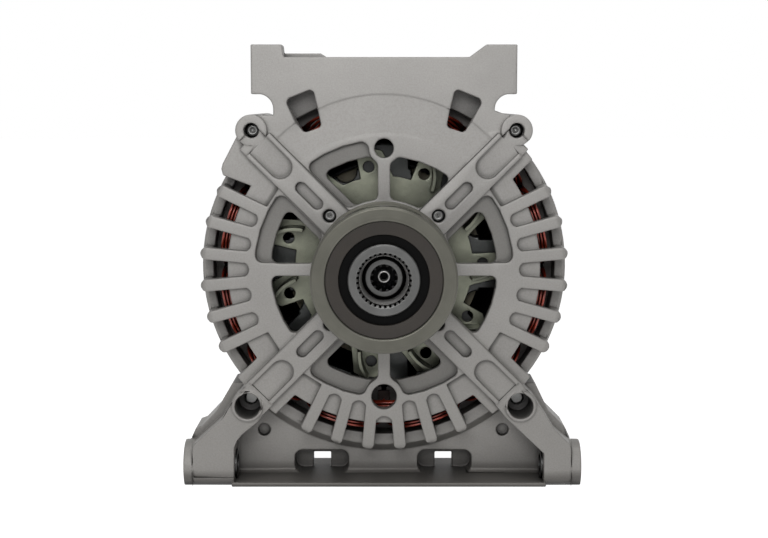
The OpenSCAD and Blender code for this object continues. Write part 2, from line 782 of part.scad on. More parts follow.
module claw_pole() difference() {
  union() {
    ring(body_shaft_r + play, pole_disc_r, 0, pole_disc_t);
    ring(body_shaft_r + play, coil_r0, pole_disc_t - cut, pole_len / 2);
    intersection() {
      turned() polygon([
        [pole_disc_r - 2, 0], [rotor_r - 2, 0], [rotor_r, 2], [rotor_r, claw_len],
        [rotor_r - 3.6, claw_len], [coil_r1 + 0.8, pole_disc_t + 0.5],
        [bobbin_r + 0.8, pole_disc_t], [pole_disc_r - 2, pole_disc_t]
      ]);
      for (i = [0:claw_count - 1]) rotate([0, i * 360 / claw_count, 0])
        rotate([0, 90, 0]) linear_extrude(rotor_r + cut)
          polygon([
            [-claw_root, -cut], [claw_root, -cut], [claw_root, pole_disc_t * 0.5],
            [claw_tip, claw_len], [-claw_tip, claw_len], [-claw_root, pole_disc_t * 0.5]
          ]);
    }
  }
  for (i = [0:claw_count - 1]) rotate([0, (i + 0.5) * 360 / claw_count, 0])
    rod(4.6, -cut, pole_disc_t + cut, rotor_r - 10.4, 0);
}

module front_claw_pole() color([0.28, 0.29, 0.28])
  translate([0, y_pole0, 0]) claw_pole();

module rear_claw_pole() color([0.28, 0.29, 0.28])
  translate([0, y_pole1, 0]) mirror([0, 1, 0]) rotate([0, 180 / claw_count, 0]) claw_pole();

module coil_bobbin() color([0.75, 0.72, 0.62]) turned() polygon([
  [coil_r0 + seat_play, y_pole0 + pole_disc_t], [bobbin_r, y_pole0 + pole_disc_t],
  [bobbin_r, y_pole0 + pole_disc_t + 1], [coil_r0 + 1.2, y_pole0 + pole_disc_t + 1],
  [coil_r0 + 1.2, y_pole1 - pole_disc_t - 1], [bobbin_r, y_pole1 - pole_disc_t - 1],
  [bobbin_r, y_pole1 - pole_disc_t], [coil_r0 + seat_play, y_pole1 - pole_disc_t]
]);

module field_coil() color([0.6, 0.2, 0.1])
  ring(coil_r0 + 1.2 + play, coil_r1 - 2.5, y_pole0 + pole_disc_t + 1, y_pole1 - pole_disc_t - 1);

// Fan of sheet steel: a plate with one petal, and one upright blade, for each step
fan_r1 = rotor_r - 4.1;
fan_screw_gap = 0.6;
fan_r0 = retainer_pcr + ear_r + fan_screw_gap;
fan_hole_pcr = fan_r1 - 6.9;
front_blade_h = 11;
rear_blade_h = 10;
blade_bend_r = 20;

module fan_petals_2d() {
  difference() {
    union() {
      circle(r = fan_r0 + 1);
      for (i = [0:blade_count - 1]) rotate(i * 360 / blade_count)
        polygon([
          [fan_r0 - 6.4, -11], [fan_r0 + 2, -8.4], [fan_r1 - 1, -6.2], [fan_r1, -3.4], [fan_r1, 3.2],
          [fan_r1 - 2, 5], [fan_r0 + 1, 4.6], [fan_r0 - 6.4, 6]
        ]);
    }
    circle(r = body_shaft_r + play);
    for (i = [0:blade_count - 1])
      rotate(i * 360 / blade_count) translate([fan_hole_pcr, 0.5]) circle(r = 2.3);
  }
}

module fan_blades_2d() {
  for (i = [0:blade_count - 1]) rotate(i * 360 / blade_count)
    intersection() {
      translate([fan_r0 - 1.4, 14]) difference() {
        circle(r = blade_bend_r);
        circle(r = blade_bend_r - fan_t);
      }
      translate([fan_r0, -9]) square([fan_r1 - fan_r0 - 0.6, 9.2]);
    }
}

module front_fan() color([0.45, 0.47, 0.41]) {
  plate(y_fan_f, y_pole0) fan_petals_2d();
  plate(y_fan_f - front_blade_h, y_fan_f) fan_blades_2d();
}

module rear_fan() color([0.45, 0.47, 0.41]) {
  plate(y_pole1, y_pole1 + fan_t) fan_petals_2d();
  plate(y_pole1 + fan_t, y_pole1 + fan_t + rear_blade_h) fan_blades_2d();
}

// Slip rings on their moulded sleeve
slip_in_r = slip_r - 1.6;
slip_lip_r = slip_r + 0.3;

module slip_ring_insulator() color([0.15, 0.13, 0.12]) turned() polygon([
  [tail_d / 2, y_brg_r1 + 0.5], [slip_r, y_brg_r1 + 0.5], [slip_r, y_slip0 - 0.6],
  [slip_lip_r, y_slip0 - 0.6], [slip_lip_r, y_slip0], [slip_in_r, y_slip0],
  [slip_in_r, y_slip0 + ring_w], [slip_lip_r, y_slip0 + ring_w], [slip_lip_r, y_slip1],
  [slip_in_r, y_slip1], [slip_in_r, y_slip1 + ring_w], [slip_r, y_slip1 + ring_w],
  [slip_r, y_slip1 + ring_w + 1], [tail_d / 2, y_slip1 + ring_w + 1]
]);

module slip_rings() color([0.72, 0.45, 0.25])
  for (y = [y_slip0, y_slip1]) ring(slip_in_r, slip_r, y, y + ring_w);

// Spacer between the front bearing and the pulley
module shaft_spacer() color("silver")
  ring(shaft_r, lip_bore_r - 1, y_pulley_rear - 1, y_brg_f0);

// Clutch hub, screwed on the shaft, with the tool spline at its mouth
y_spline1 = y_pulley_front + 8;

module clutch_hub() color([0.6, 0.6, 0.6]) difference() {
  turned() polygon([
    [shaft_r, y_shaft_end + 3], [shaft_r, y_pulley_rear - 1], [clutch_hub_r, y_pulley_rear - 1],
    [clutch_hub_r, y_pulley_front + 1], [clutch_hub_r - 0.6, y_pulley_front + 0.4],
    [spline_r, y_pulley_front + 0.4], [spline_r - 0.9, y_pulley_front + 1.3],
    [spline_r - 0.9, y_spline1], [shaft_r, y_spline1 + 1.2]
  ]);
  plate(y_pulley_front - cut, y_spline1 - 0.6)
    for (i = [0:spline_teeth - 1]) rotate(i * 360 / spline_teeth)
      polygon([
        [spline_r - 1.5, -0.56], [spline_r, -0.3], [spline_r, 0.3], [spline_r - 1.5, 0.56]
      ]);
}

// Pulley ring with its belt ribs; the outline runs from the rear to the front
rib_root = pulley_r - 1.2 - rib_depth;
rib_tip = pulley_r - 1.2;
half_flat = 0.35;
seal_t = 2.6;

function rib_points(i) = let (m = rib_len / 2 - (i + 0.5) * rib_pitch) [
  [rib_root, m + rib_pitch / 2 - half_flat], [rib_tip, m + half_flat],
  [rib_tip, m - half_flat], [rib_root, m - rib_pitch / 2 + half_flat]
];

module pulley_ring() color([0.45, 0.45, 0.41]) turned() polygon(concat(
  [
    [clutch_bore_r, y_pulley_rear], [pulley_r - 1.2, y_pulley_rear],
    [pulley_r - 0.2, y_pulley_rear - 1], [pulley_r - 0.2, rib_len / 2 + 1.2]
  ],
  [for (i = [0:rib_count - 1]) each rib_points(i)],
  [
    [pulley_r, -rib_len / 2 - 1.4], [pulley_r, y_pulley_front + 0.8],
    [pulley_r - 0.8, y_pulley_front], [seal_r + 0.5, y_pulley_front],
    [seal_r, y_pulley_front + 0.5], [seal_r, y_pulley_front + 1.4 + seal_t],
    [clutch_bore_r, y_pulley_front + 1.4 + seal_t]
  ]
));

module front_seal() color([0.24, 0.22, 0.2])
  turned() polygon([
    [clutch_bore_r, y_pulley_front + 1.4], [seal_r, y_pulley_front + 1],
    [seal_r, y_pulley_front + 1.4 + seal_t], [clutch_bore_r, y_pulley_front + 1.4 + seal_t]
  ]);

module clutch_seal() color([0.06, 0.06, 0.06])
  for (y = [y_pulley_front + 3, y_pulley_rear - 1.9])
    ring(clutch_hub_r + 0.1, clutch_bore_r, y, y + 1.8);

// Needle rollers at both ends of the pulley bore, clutch rollers between them
roller_r = (clutch_bore_r - clutch_hub_r) / 2 - play;
roller_pcr = (clutch_bore_r + clutch_hub_r) / 2;
y_rollers = y_pulley_front + 6;
roller_span = (y_pulley_rear - 2 - y_rollers) / 3;

module roller_row(y0, y1) {
  for (i = [0:19]) rotate([0, i * 18, 0]) rod(roller_r, y0, y1, roller_pcr, 0);
}

module pulley_rollers() color("silver") {
  roller_row(y_rollers, y_rollers + roller_span - 0.4);
  roller_row(y_rollers + 2 * roller_span + 0.4, y_pulley_rear - 2);
}

module clutch_rollers() color("silver")
  roller_row(y_rollers + roller_span, y_rollers + 2 * roller_span);

// Rear bracket with its windowed end wall
module rear_outline_2d() {
  circle(r = body_r, $fn = 120);
  for (p = bolt_spots) hull() {
    translate(p) circle(r = bolt_boss_r, $fn = 32);
    translate(p * 0.84) circle(r = bolt_boss_r + 2, $fn = 32);
  }
}

vent_w = 4.6;

module rear_bracket() color([0.66, 0.65, 0.63]) difference() {
  union() {
    difference() {
      plate(y_grip_r, y_end1) rear_outline_2d();
      rod(core_r + play, y_grip_r - cut, y_core1);
      ring(rear_hub_r, ring_in, y_core1 - cut, y_end0);
      rod(rear_hub_r, y_grip_r - cut, y_end0);
    }
    ring(slip_r, rear_hub_r, y_brg_r0, y_end1);
  }
  rod(pocket_rear_r, y_brg_r0 - cut, y_brg_r1);
  rod(slip_r + 1.5, y_brg_r1 - cut, y_end1 + cut);
  plate(y_end0 - cut, y_end1 + cut) rounded(2) difference() {
    circle(r = 50);
    circle(r = rear_hub_r + 3);
    bars_2d([for (i = [0:11]) i * 30 + 15], 5, 0, 60);
  }
  for (s = [0, 90, 180, 270], k = [-3:3]) rotate([0, s + k * 9, 0])
    box(ring_in - 8, body_r + 8, y_core1 + 4, y_end0 - 1, -vent_w / 2, vent_w / 2);
  for (p = bolt_spots) rod(bolt_r + play, y_grip_r - cut, y_end1 + cut, p[0], p[1]);
  for (p = cover_spots) rod(cover_stud_r, y_end0 - cut, y_end1 + cut, p[0], p[1]);
}

// Long screws from the rear bracket into the front bracket
module through_bolts() color([0.5, 0.5, 0.52]) for (p = bolt_spots) {
  y0 = y_face + (p[1] > 0 ? top_bore_depth + 0.6 : low_bore_depth + 2);
  rod(bolt_r, y0, y_end1, p[0], p[1]);
  difference() {
    rod(4.3, y_end1, y_end1 + 4, p[0], p[1]);
    translate([p[0], y_end1 + 4 + cut, p[1]]) rotate([90, 0, 0]) cylinder(r = 2.3, h = 2.4 + cut, $fn = 6);
  }
}

// Cover studs and nuts; the cover stands on the end wall
cover_nut_t = 3.4;

module cover_studs() color("silver") for (p = cover_spots)
  rod(cover_stud_r, y_end0, y_cover + cover_nut_t + 1, p[0], p[1]);

module cover_nuts() color("silver") for (p = cover_spots)
  translate([p[0], y_cover + cover_nut_t, p[1]]) difference() {
    rotate([90, 0, 0]) cylinder(r = cover_nut_r, h = cover_nut_t, $fn = 6);
    rod(cover_stud_r, -cover_nut_t - cut, cut);
  }

// Rectifier: two heat sinks in the form of a horseshoe, open at the top
module horseshoe_2d(r0, r1) {
  difference() {
    circle(r = r1);
    circle(r = r0);
    polygon([[0, 0], [-80, 66], [-80, 90], [80, 90], [80, 66]]);
    for (p = cover_spots) translate(p) circle(r = 6.5);
  }
}

// Seats for the diodes, and air slots between them
module diode_holes_2d() {
  for (a = diode_angles) rotate(a) translate([diode_pcr, 0]) circle(r = diode_r);
  bars_2d(between_diodes, air_slot_w, air_slot_r0, diode_pcr + 3);
}

module negative_heat_sink() color([0.7, 0.7, 0.7]) plate(neg_y0, neg_y0 + neg_t)
  difference() {
    horseshoe_2d(plate_in_r, plate_out_r + 2);
    diode_holes_2d();
  }

// Round diode cases from y0 on, each with its lead from l0 to l1
diode_t = 5.4;
diode_lead = 3.4;
lead_r = 0.9;

module diodes(y0, l0, l1) {
  for (a = diode_angles) rotate([0, -a, 0]) {
    rod(diode_r, y0, y0 + diode_t, diode_pcr, 0);
    rod(lead_r, l0, l1, diode_pcr, 0);
  }
}

module negative_diodes() color([0.5, 0.5, 0.48])
  diodes(neg_y0, neg_y0 + diode_t, board_y0 + 1.9);

module positive_heat_sink() color([0.7, 0.7, 0.7]) plate(pos_y1 - pos_t, pos_y1)
  difference() {
    horseshoe_2d(plate_in_r, plate_out_r);
    diode_holes_2d();
    translate([stud_x, -stud_z]) circle(r = stud_d / 2);
  }

module positive_diodes() color([0.5, 0.5, 0.48])
  diodes(pos_y1 - diode_t, pos_y1 - diode_t - diode_lead, pos_y1 - diode_t);

// Moulded board with the leads between the two heat sinks
board_gap = 8.5;
board_y0 = neg_y0 + board_gap;
board_t = 2.4;
post_r = 3;
post_pcr = diode_pcr + 8;
air_slot_w = 6;
air_slot_r0 = plate_in_r + 4;

module rectifier_board() color([0.12, 0.12, 0.12]) {
  plate(board_y0, board_y0 + board_t) difference() {
    horseshoe_2d(plate_in_r + 2, plate_out_r - 1);
    for (a = diode_angles) rotate(a) translate([diode_pcr, 0]) circle(r = 2);
    bars_2d(between_diodes, air_slot_w, air_slot_r0, diode_pcr + 2);
  }
  for (a = between_diodes) rotate([0, -a, 0]) {
    rod(post_r, neg_y0 + neg_t, board_y0, post_pcr, 0);
    rod(post_r, board_y0 + board_t, pos_y1 - pos_t, post_pcr, 0);
  }
}

// Regulator with its finned back, above the slip rings
con_w = 17;
con_h = 10.5;
con_x = (cover_r - 10) * cos(55.8);
con_z = (cover_r - 10) * sin(55.8);
con_y1 = y_cover + 5;
reg_x = con_x - con_w / 2 - 1;
reg_z0 = spring_z1 + 2;
reg_z1 = cover_r - 9;
reg_t = 13;
reg_fin_h = 7;
reg_fin_step = (reg_x - 3) / 3;

module voltage_regulator() color([0.16, 0.16, 0.16]) {
  box(-reg_x, reg_x, y_end1, y_end1 + reg_t, reg_z0, reg_z1);
  for (k = [-3:3]) translate([k * reg_fin_step, 0, 0])
    box(-1, 1, y_end1 + reg_t - cut, y_end1 + reg_t + reg_fin_h, reg_z0 + 1, reg_z1 - 1);
}

// Holder with one channel for each brush, closed by a roof over the springs
module brush_holder() color([0.2, 0.19, 0.18]) difference() {
  box(-holder_x / 2, holder_x / 2, y_end1 + 0.6, y_tail + 2.6, holder_z0, spring_z1 + 2);
  for (y = [y_slip0, y_slip1])
    box(-brush_x / 2 - 0.15, brush_x / 2 + 0.15, y + ring_w / 2 - brush_y / 2 - 0.15,
        y + ring_w / 2 + brush_y / 2 + 0.15, holder_z0 - cut, spring_z1);
}

module brush(y) color([0.15, 0.15, 0.16]) difference() {
  box(-brush_x / 2, brush_x / 2, y + ring_w / 2 - brush_y / 2, y + ring_w / 2 + brush_y / 2,
      brush_z0 - 0.6, brush_z0 + brush_len);
  rod(slip_r + 0.1, y - cut, y + ring_w + cut);
}

module inner_brush() brush(y_slip0);

module outer_brush() brush(y_slip1);

// Brush spring with flat coils, standing on the brush and under the roof
spring_r = 1.9;
spring_wire = 0.32;
spring_coils = 6;

module brush_spring(y) color("silver") translate([0, y + ring_w / 2, brush_z0 + brush_len + 0.1]) {
  step = (spring_z1 - brush_z0 - brush_len - 0.3 - 2 * spring_wire) / spring_coils;
  for (i = [0:spring_coils]) translate([0, 0, spring_wire + i * step])
    rotate_extrude() translate([spring_r, 0]) circle(r = spring_wire, $fn = 16);
  for (i = [0:spring_coils - 1]) rotate(i * 60)
    translate([spring_r, 0, spring_wire + i * step]) cylinder(r = spring_wire * 0.8, h = step);
}

module inner_brush_spring() brush_spring(y_slip0);

module outer_brush_spring() brush_spring(y_slip1);

// Connector with an oval mouth that opens to the rear, on an arm of the regulator
module stadium_2d(w, h) {
  translate([-w / 2 + h / 2, -h / 2]) square([w - h, h]);
  for (d = [-1, 1]) translate([d * (w - h) / 2, 0]) circle(r = h / 2);
}

module connector_socket() color([0.14, 0.14, 0.14]) {
  box(reg_x, con_x - 4, y_end1 + 2, y_end1 + 12, con_z - 4, con_z + 4);
  translate([con_x, 0, con_z]) {
    plate(y_end1 + 2, y_end1 + 13) stadium_2d(con_w, con_h);
    plate(y_end1 + 13 - cut, con_y1) difference() {
      stadium_2d(con_w, con_h);
      stadium_2d(con_w - 3, con_h - 3);
    }
  }
}

module connector_pins() color("silver") for (x = [-4, 0, 4])
  box(con_x + x - 0.3, con_x + x + 0.3, y_end1 + 13, y_end1 + 21, con_z - 1.2, con_z + 1.2);

// Vented plastic cover over the rectifier and regulator
module rear_cover() color([0.13, 0.13, 0.14]) difference() {
  turned() polygon([
    [cover_r - cover_wall, y_end1], [cover_r, y_end1], [cover_r, y_cover - 5],
    [cover_r - 1, y_cover - 1.5], [cover_r - 3.4, y_cover], [0, y_cover],
    [0, cover_floor], [cover_r - 6, cover_floor], [cover_r - cover_wall - 1.2, cover_floor - 1.4],
    [cover_r - cover_wall, y_cover - 6]
  ]);
  translate([con_x, 0, con_z]) plate(y_end1 - cut, y_cover + cut)
    stadium_2d(con_w + 2 * slack, con_h + 2 * slack);
  rod(insulator_r + slack, cover_floor - cut, y_cover + cut, stud_x, -stud_z);
  for (p = cover_spots) rod(cover_stud_r + play, cover_floor - cut, y_cover + cut, p[0], p[1]);
  for (k = [-4:4]) rotate([0, -270 + k * 12, 0])
    box(24, cover_r - 14, cover_floor - cut, y_cover + cut, -1.7, 1.7);
  for (k = [-5:5]) rotate([0, -270 + k * 9, 0])
    box(cover_r - 5, cover_r + cut, y_end1 + 6, y_cover - 8, -1.8, 1.8);
}

// Output terminal: stud through the positive heat sink, insulator and nut
flange_t = 3;
washer_t = 1.6;
terminal_nut_t = 6.4;
terminal_nut_y = flange_t + washer_t + terminal_nut_t;
terminal_nut_r = 7.5;
washer_r = 8;

groove_len = 1;

module output_stud() color([0.6, 0.58, 0.5]) translate([stud_x, 0, -stud_z]) {
  nut_end = y_cover + terminal_nut_y;
  rod(stud_d / 2, pos_y1 - pos_t, nut_end);
  rod(stud_d / 2 - 0.5, nut_end - cut, nut_end + groove_len + cut);
  rod(stud_d / 2, nut_end + groove_len, nut_end + groove_len + stud_free);
}

module output_insulator() color([0.1, 0.1, 0.1]) translate([stud_x, 0, -stud_z]) difference() {
  union() {
    rod(insulator_r, pos_y1, y_cover + cut);
    rod(insulator_r + 2, y_cover, y_cover + flange_t);
  }
  rod(stud_d / 2, pos_y1 - cut, y_cover + flange_t + cut);
}

module output_nut() color([0.6, 0.58, 0.5]) translate([stud_x, 0, -stud_z]) difference() {
  union() {
    rod(washer_r, y_cover + flange_t, y_cover + flange_t + washer_t);
    translate([0, y_cover + terminal_nut_y, 0]) rotate([90, 0, 0])
      cylinder(r = terminal_nut_r, h = terminal_nut_t, $fn = 6);
  }
  rod(stud_d / 2, y_cover + flange_t - cut, y_cover + terminal_nut_y + cut);
}

front_bracket();
foot_bushes();
front_bearing_outer_ring();
front_bearing_seals();
bearing_retainer();
retainer_screws();
stator_core();
slot_conductors();
front_winding_head();
rear_winding_head();
rear_bracket();
through_bolts();
rear_bearing_outer_ring();
rear_bearing_sleeve();
negative_heat_sink();
negative_diodes();
positive_heat_sink();
positive_diodes();
rectifier_board();
voltage_regulator();
brush_holder();
connector_socket();
connector_pins();
rear_cover();
cover_nuts();
cover_studs();
output_stud();
output_nut();
output_insulator();
rotor_shaft();
front_claw_pole();
rear_claw_pole();
field_coil();
coil_bobbin();
front_fan();
rear_fan();
slip_rings();
slip_ring_insulator();
front_bearing_inner_ring();
front_bearing_balls();
rear_bearing_inner_ring();
rear_bearing_balls();
shaft_spacer();
clutch_hub();
pulley_ring();
front_seal();
clutch_seal();
pulley_rollers();
clutch_rollers();
outer_brush();
inner_brush();
outer_brush_spring();
inner_brush_spring();
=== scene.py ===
"""Looks of a claw pole alternator: castings, pulley, windings, fans, rear end, stage."""
import json
import math

import bmesh
import bpy
from bpy.props import FloatProperty, FloatVectorProperty, IntProperty, PointerProperty
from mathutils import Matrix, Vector
from mathutils.bvhtree import BVHTree


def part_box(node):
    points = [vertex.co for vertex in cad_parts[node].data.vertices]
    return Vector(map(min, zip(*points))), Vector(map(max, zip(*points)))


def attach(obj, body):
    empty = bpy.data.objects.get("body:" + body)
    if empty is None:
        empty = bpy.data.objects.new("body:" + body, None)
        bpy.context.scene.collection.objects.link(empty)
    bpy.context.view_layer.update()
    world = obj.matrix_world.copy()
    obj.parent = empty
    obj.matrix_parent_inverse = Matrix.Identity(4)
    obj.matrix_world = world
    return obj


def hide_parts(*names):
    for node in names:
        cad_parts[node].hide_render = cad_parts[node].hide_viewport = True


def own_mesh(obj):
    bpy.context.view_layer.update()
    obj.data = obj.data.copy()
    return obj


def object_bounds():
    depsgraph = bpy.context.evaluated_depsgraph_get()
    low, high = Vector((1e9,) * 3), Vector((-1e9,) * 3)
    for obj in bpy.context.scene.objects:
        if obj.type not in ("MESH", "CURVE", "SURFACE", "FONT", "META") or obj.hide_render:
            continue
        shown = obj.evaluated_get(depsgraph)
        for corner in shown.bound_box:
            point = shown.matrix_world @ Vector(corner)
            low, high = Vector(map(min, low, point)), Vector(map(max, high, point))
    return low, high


bl_info = {
    "name": "Alternator looks",
    "version": (1, 0, 0),
    "blender": (4, 5, 0),
    "location": "3D View > Sidebar > Alternator",
    "description": "Finishes and details of a claw pole alternator on its fixed frame",
    "category": "Object",
}

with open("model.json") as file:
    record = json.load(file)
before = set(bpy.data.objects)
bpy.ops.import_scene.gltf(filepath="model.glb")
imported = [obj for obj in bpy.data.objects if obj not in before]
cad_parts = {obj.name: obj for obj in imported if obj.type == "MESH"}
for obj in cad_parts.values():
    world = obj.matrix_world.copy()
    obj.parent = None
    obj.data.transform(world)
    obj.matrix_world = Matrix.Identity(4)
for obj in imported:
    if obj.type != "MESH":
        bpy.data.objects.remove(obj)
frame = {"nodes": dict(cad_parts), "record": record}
NODES = frame["nodes"]
CAD_LOW, CAD_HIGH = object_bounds()
SLOT_OF = {s["node"]: s["material_slot"] for s in frame["record"]["subparts"]}
BODY_OF = {n: b for b, ns in frame["record"]["behaviour"]["bodies"].items() for n in ns}
SLOT_TO_MATERIAL = {}


# ---------------------------------------------------------------- fixed values, in metres

SAME_POINT = 0.000002  # corners of a CAD solid that lie closer are one corner
SHORT_EDGE = 0.00002  # shorter edges of a CAD solid go before it is bevelled
SPUN_POINT = 0.000005  # corners of a spun piece that lie closer are one corner
END_DEPTH = 0.0002  # corners this near to the front of a bolt make up its end

MEND_ROUNDS = 8  # most rounds in which a mend collapses small turned faces
MEND_EDGE = 0.0012  # longer edges are never collapsed
MEND_TURN = -0.2  # a face whose normal agrees less than this with the solid's is turned
MEND_REACH = 0.0001  # a bevelled face lies within the bevel and this of the solid

SHAFT_STEPS = 96  # steps of a piece spun about the shaft
SCREW_STEPS = 32  # steps of a screw's end

# where painted shade darkens the casting
SUNK_ALONG = (0.0191, 0.0203)  # from the skin of the front face to its sunk floors
SUNK_RADIUS = (0.0560, 0.0550)  # from outside the sunk floors to inside
FOOT_HEIGHT = (-0.0835, -0.0862)  # from above the foot's floor to that floor
FOOT_ALONG = (0.0135, 0.0165)  # from the front edge of the foot's floor inwards
LOW_SHADE_HEIGHT = (-0.09, 0.07)  # painted shade, from darker at the foot to none higher up

PHASES = 3
COILS = 12  # in each phase
COIL_STEP = 30  # degrees from one coil of a phase to the next
PHASE_STEP = 10  # degrees from one phase to the next
FAN_OUT = 1.2  # degrees that the outer wires of a bundle stand apart at its top
WIRE_PITCH = 2.05  # from wire to wire, in wire radii
HEAD_SKIN = 0.0002  # air between the outermost wires and the outside of the head
HEAD_DEPTH = 0.0118  # depth of a winding head, outside to inside
PHASE_DROP = 0.0012  # the middle phase lies this much lower than the others
ROW_DROP = 0.0003  # each inner row lies this much lower
SLOT_DEPTHS = (0.0015, 0.0032, 0.0008)  # of the first wire, and more by row and by wire

FLOOR_Z = CAD_LOW.z - 0.0002
FLOOR_RADIUS = 6.0
FLOOR_WHITE = 0.96  # share of white that the camera sees on the floor
CAMERA_PLACE = (0, -0.590, 0.068)
LAMPS = (  # name, place, point that it lights, size
    ("key", (-0.06, -0.60, 0.24), (0, 0.02, 0), (0.3, 0.2)),
    ("top", (0, -0.14, 0.62), (0, 0.03, 0), (0.5, 0.3)),
)


# ---------------------------------------------------------------- settings

class CastingSettings(bpy.types.PropertyGroup):
    """Finish of the two cast brackets"""
    edge: FloatProperty(name="Edge rounding", description="Rounding on the cast edges",
                        default=0.00045, min=0, max=0.001, precision=5, subtype="DISTANCE", unit="LENGTH")
    grain: FloatProperty(name="Grain depth", description="Depth of the blasted grain",
                         default=0.00009, min=0, max=0.0005, precision=6, subtype="DISTANCE", unit="LENGTH")
    colour: FloatVectorProperty(name="Metal", description="Colour of the blasted metal",
                                default=(0.335, 0.325, 0.312), size=3, min=0, max=1, subtype="COLOR")
    # colour of painted shade and dirt in corners and pockets
    dirt_and_shade: FloatVectorProperty(name="Corners", description="Colour in corners and pockets",
                              default=(0.085, 0.08, 0.074), size=3, min=0, max=1, subtype="COLOR")


class PulleySettings(bpy.types.PropertyGroup):
    """Finish of the pulley and of its front seal"""
    edge: FloatProperty(name="Edge rounding", description="Rounding on the turned edges",
                        default=0.00025, min=0, max=0.001, precision=5, subtype="DISTANCE", unit="LENGTH")
    rim: FloatVectorProperty(name="Rim", description="Colour of the pulley ring",
                             default=(0.098, 0.096, 0.081), size=3, min=0, max=1, subtype="COLOR")
    seal: FloatVectorProperty(name="Seal", description="Colour of the front seal",
                              default=(0.021, 0.0165, 0.0125), size=3, min=0, max=1, subtype="COLOR")


class WindingSettings(bpy.types.PropertyGroup):
    """Wires of the stator's winding heads"""
    wire: FloatProperty(name="Wire radius", description="Radius of one enamelled wire",
                        default=0.00062, min=0.0003, max=0.001, precision=5, subtype="DISTANCE",
                        unit="LENGTH")
    rows: IntProperty(name="Wires each way", description="Wires in each direction of a bundle",
                      default=3, min=1, max=4)
    colour: FloatVectorProperty(name="Enamel", description="Colour of the enamelled wire",
                                default=(0.36, 0.036, 0.012), size=3, min=0, max=1, subtype="COLOR")


class StageSettings(bpy.types.PropertyGroup):
    """Floor, lamps and camera"""
    lens: FloatProperty(name="Lens", description="Focal length of the camera, in millimetres",
                        default=70.3125, min=10, max=300)
    tilt: FloatProperty(name="Tilt", description="How far the camera looks down",
                        default=math.radians(6.35), min=0, max=1.5, subtype="ANGLE", unit="ROTATION")
    floor: FloatVectorProperty(name="Floor", description="Colour of the floor",
                               default=(0.93, 0.93, 0.93), size=3, min=0, max=1, subtype="COLOR")
    sky: FloatProperty(name="Sky", description="Strength of the even light from all around",
                       default=0.09, min=0, max=1, subtype="FACTOR")
    key: FloatProperty(name="Key lamp", description="Power of the lamp over the camera, in watts",
                       default=1.58, min=0, max=200, subtype="POWER", unit="POWER")
    top: FloatProperty(name="Top lamp", description="Power of the lamp above, in watts",
                       default=1.2, min=0, max=200, subtype="POWER", unit="POWER")


# ---------------------------------------------------------------- materials

def node(tree, kind, **values):
    """Adds a shader node; values go to inputs or, with a leading underscore, to settings"""
    made = tree.nodes.new("ShaderNode" + kind)
    for key, value in values.items():
        if key.startswith("_"):
            setattr(made, key[1:], value)
        else:
            made.inputs[key.replace("__", " ")].default_value = value
    return made


def ramp(tree, source, stops):
    """Colours that follow a value, from stops of a place and a colour each"""
    made = tree.nodes.new("ShaderNodeValToRGB")
    elements = made.color_ramp.elements
    for element, (place, colour) in zip(elements, (stops[0], stops[-1])):
        element.position, element.color = place, (*colour, 1)
    for place, colour in stops[1:-1]:
        elements.new(place).color = (*colour, 1)
    tree.links.new(source, made.inputs["Fac"])
    return made.outputs["Color"]


def blank(name, roughness, metallic):
    """A new material with its shader and the object coordinates"""
    mat = bpy.data.materials.new(name)
    mat.use_nodes = True
    tree = mat.node_tree
    shader = tree.nodes["Principled BSDF"]
    shader.inputs["Roughness"].default_value = roughness
    shader.inputs["Metallic"].default_value = metallic
    place = node(tree, "TexCoord").outputs["Object"]
    return mat, tree, shader, place


def grain(tree, place, scale, detail):
    """Even noise on the object's coordinates"""
    noise = node(tree, "TexNoise", Scale=scale, Detail=detail, Roughness=0.6)
    tree.links.new(place, noise.inputs["Vector"])
    return noise.outputs["Fac"]


def bump(tree, shader, height, depth, strength=1.0, before=None):
    """Fine relief on the shader, on top of the normal that comes before"""
    made = node(tree, "Bump", Strength=strength, Distance=depth)
    tree.links.new(height, made.inputs["Height"])
    if before is not None:
        tree.links.new(before, made.inputs["Normal"])
    tree.links.new(made.outputs["Normal"], shader.inputs["Normal"])
    return made.outputs["Normal"]


def times(tree, one, other):
    """Product of two colours"""
    mix = node(tree, "Mix", _data_type="RGBA", _blend_type="MULTIPLY")
    mix.inputs[0].default_value = 1.0
    tree.links.new(one, mix.inputs[6])
    tree.links.new(other, mix.inputs[7])
    return mix.outputs[2]


def wear_and_edge_highlight(tree, base, edge, tint):
    """The base colour, times the tint where the edge mask is white: a painted highlight on edges, on the
    casting also rubbed wear
    """
    mix = node(tree, "Mix", _data_type="RGBA", _blend_type="MULTIPLY")
    mix.inputs[7].default_value = (*tint, 1)
    tree.links.new(edge, mix.inputs[0])
    tree.links.new(base, mix.inputs[6])
    return mix.outputs[2]


def corner_shade(tree, distance, low, start=0.25, end=0.85):
    """Painted shade from occlusion: white on open faces, the low colour deep in corners"""
    shade = node(tree, "AmbientOcclusion", _samples=8, Distance=distance)
    return ramp(tree, shade.outputs["AO"], [(start, low), (end, (1, 1, 1))])


def vary(tree, value, low, high, socket):
    """Runs a socket from low to high with a value"""
    span = node(tree, "MapRange")
    span.inputs["To Min"].default_value = low
    span.inputs["To Max"].default_value = high
    tree.links.new(value, span.inputs["Value"])
    tree.links.new(span.outputs["Result"], socket)


def rounded_edges(tree, radius):
    """Rounded normal, and a mask that is white on edges and black on open faces, for the painted highlight
    on edges
    """
    bevel = node(tree, "Bevel", _samples=6, Radius=radius)
    surface = node(tree, "NewGeometry")
    match = node(tree, "VectorMath", _operation="DOT_PRODUCT")
    tree.links.new(bevel.outputs["Normal"], match.inputs[0])
    tree.links.new(surface.outputs["Normal"], match.inputs[1])
    span = node(tree, "MapRange")
    for key, value in (("From Min", 0.99), ("From Max", 0.85), ("To Min", 0.0), ("To Max", 1.0)):
        span.inputs[key].default_value = value
    tree.links.new(match.outputs["Value"], span.inputs["Value"])
    return bevel.outputs["Normal"], span.outputs["Result"]


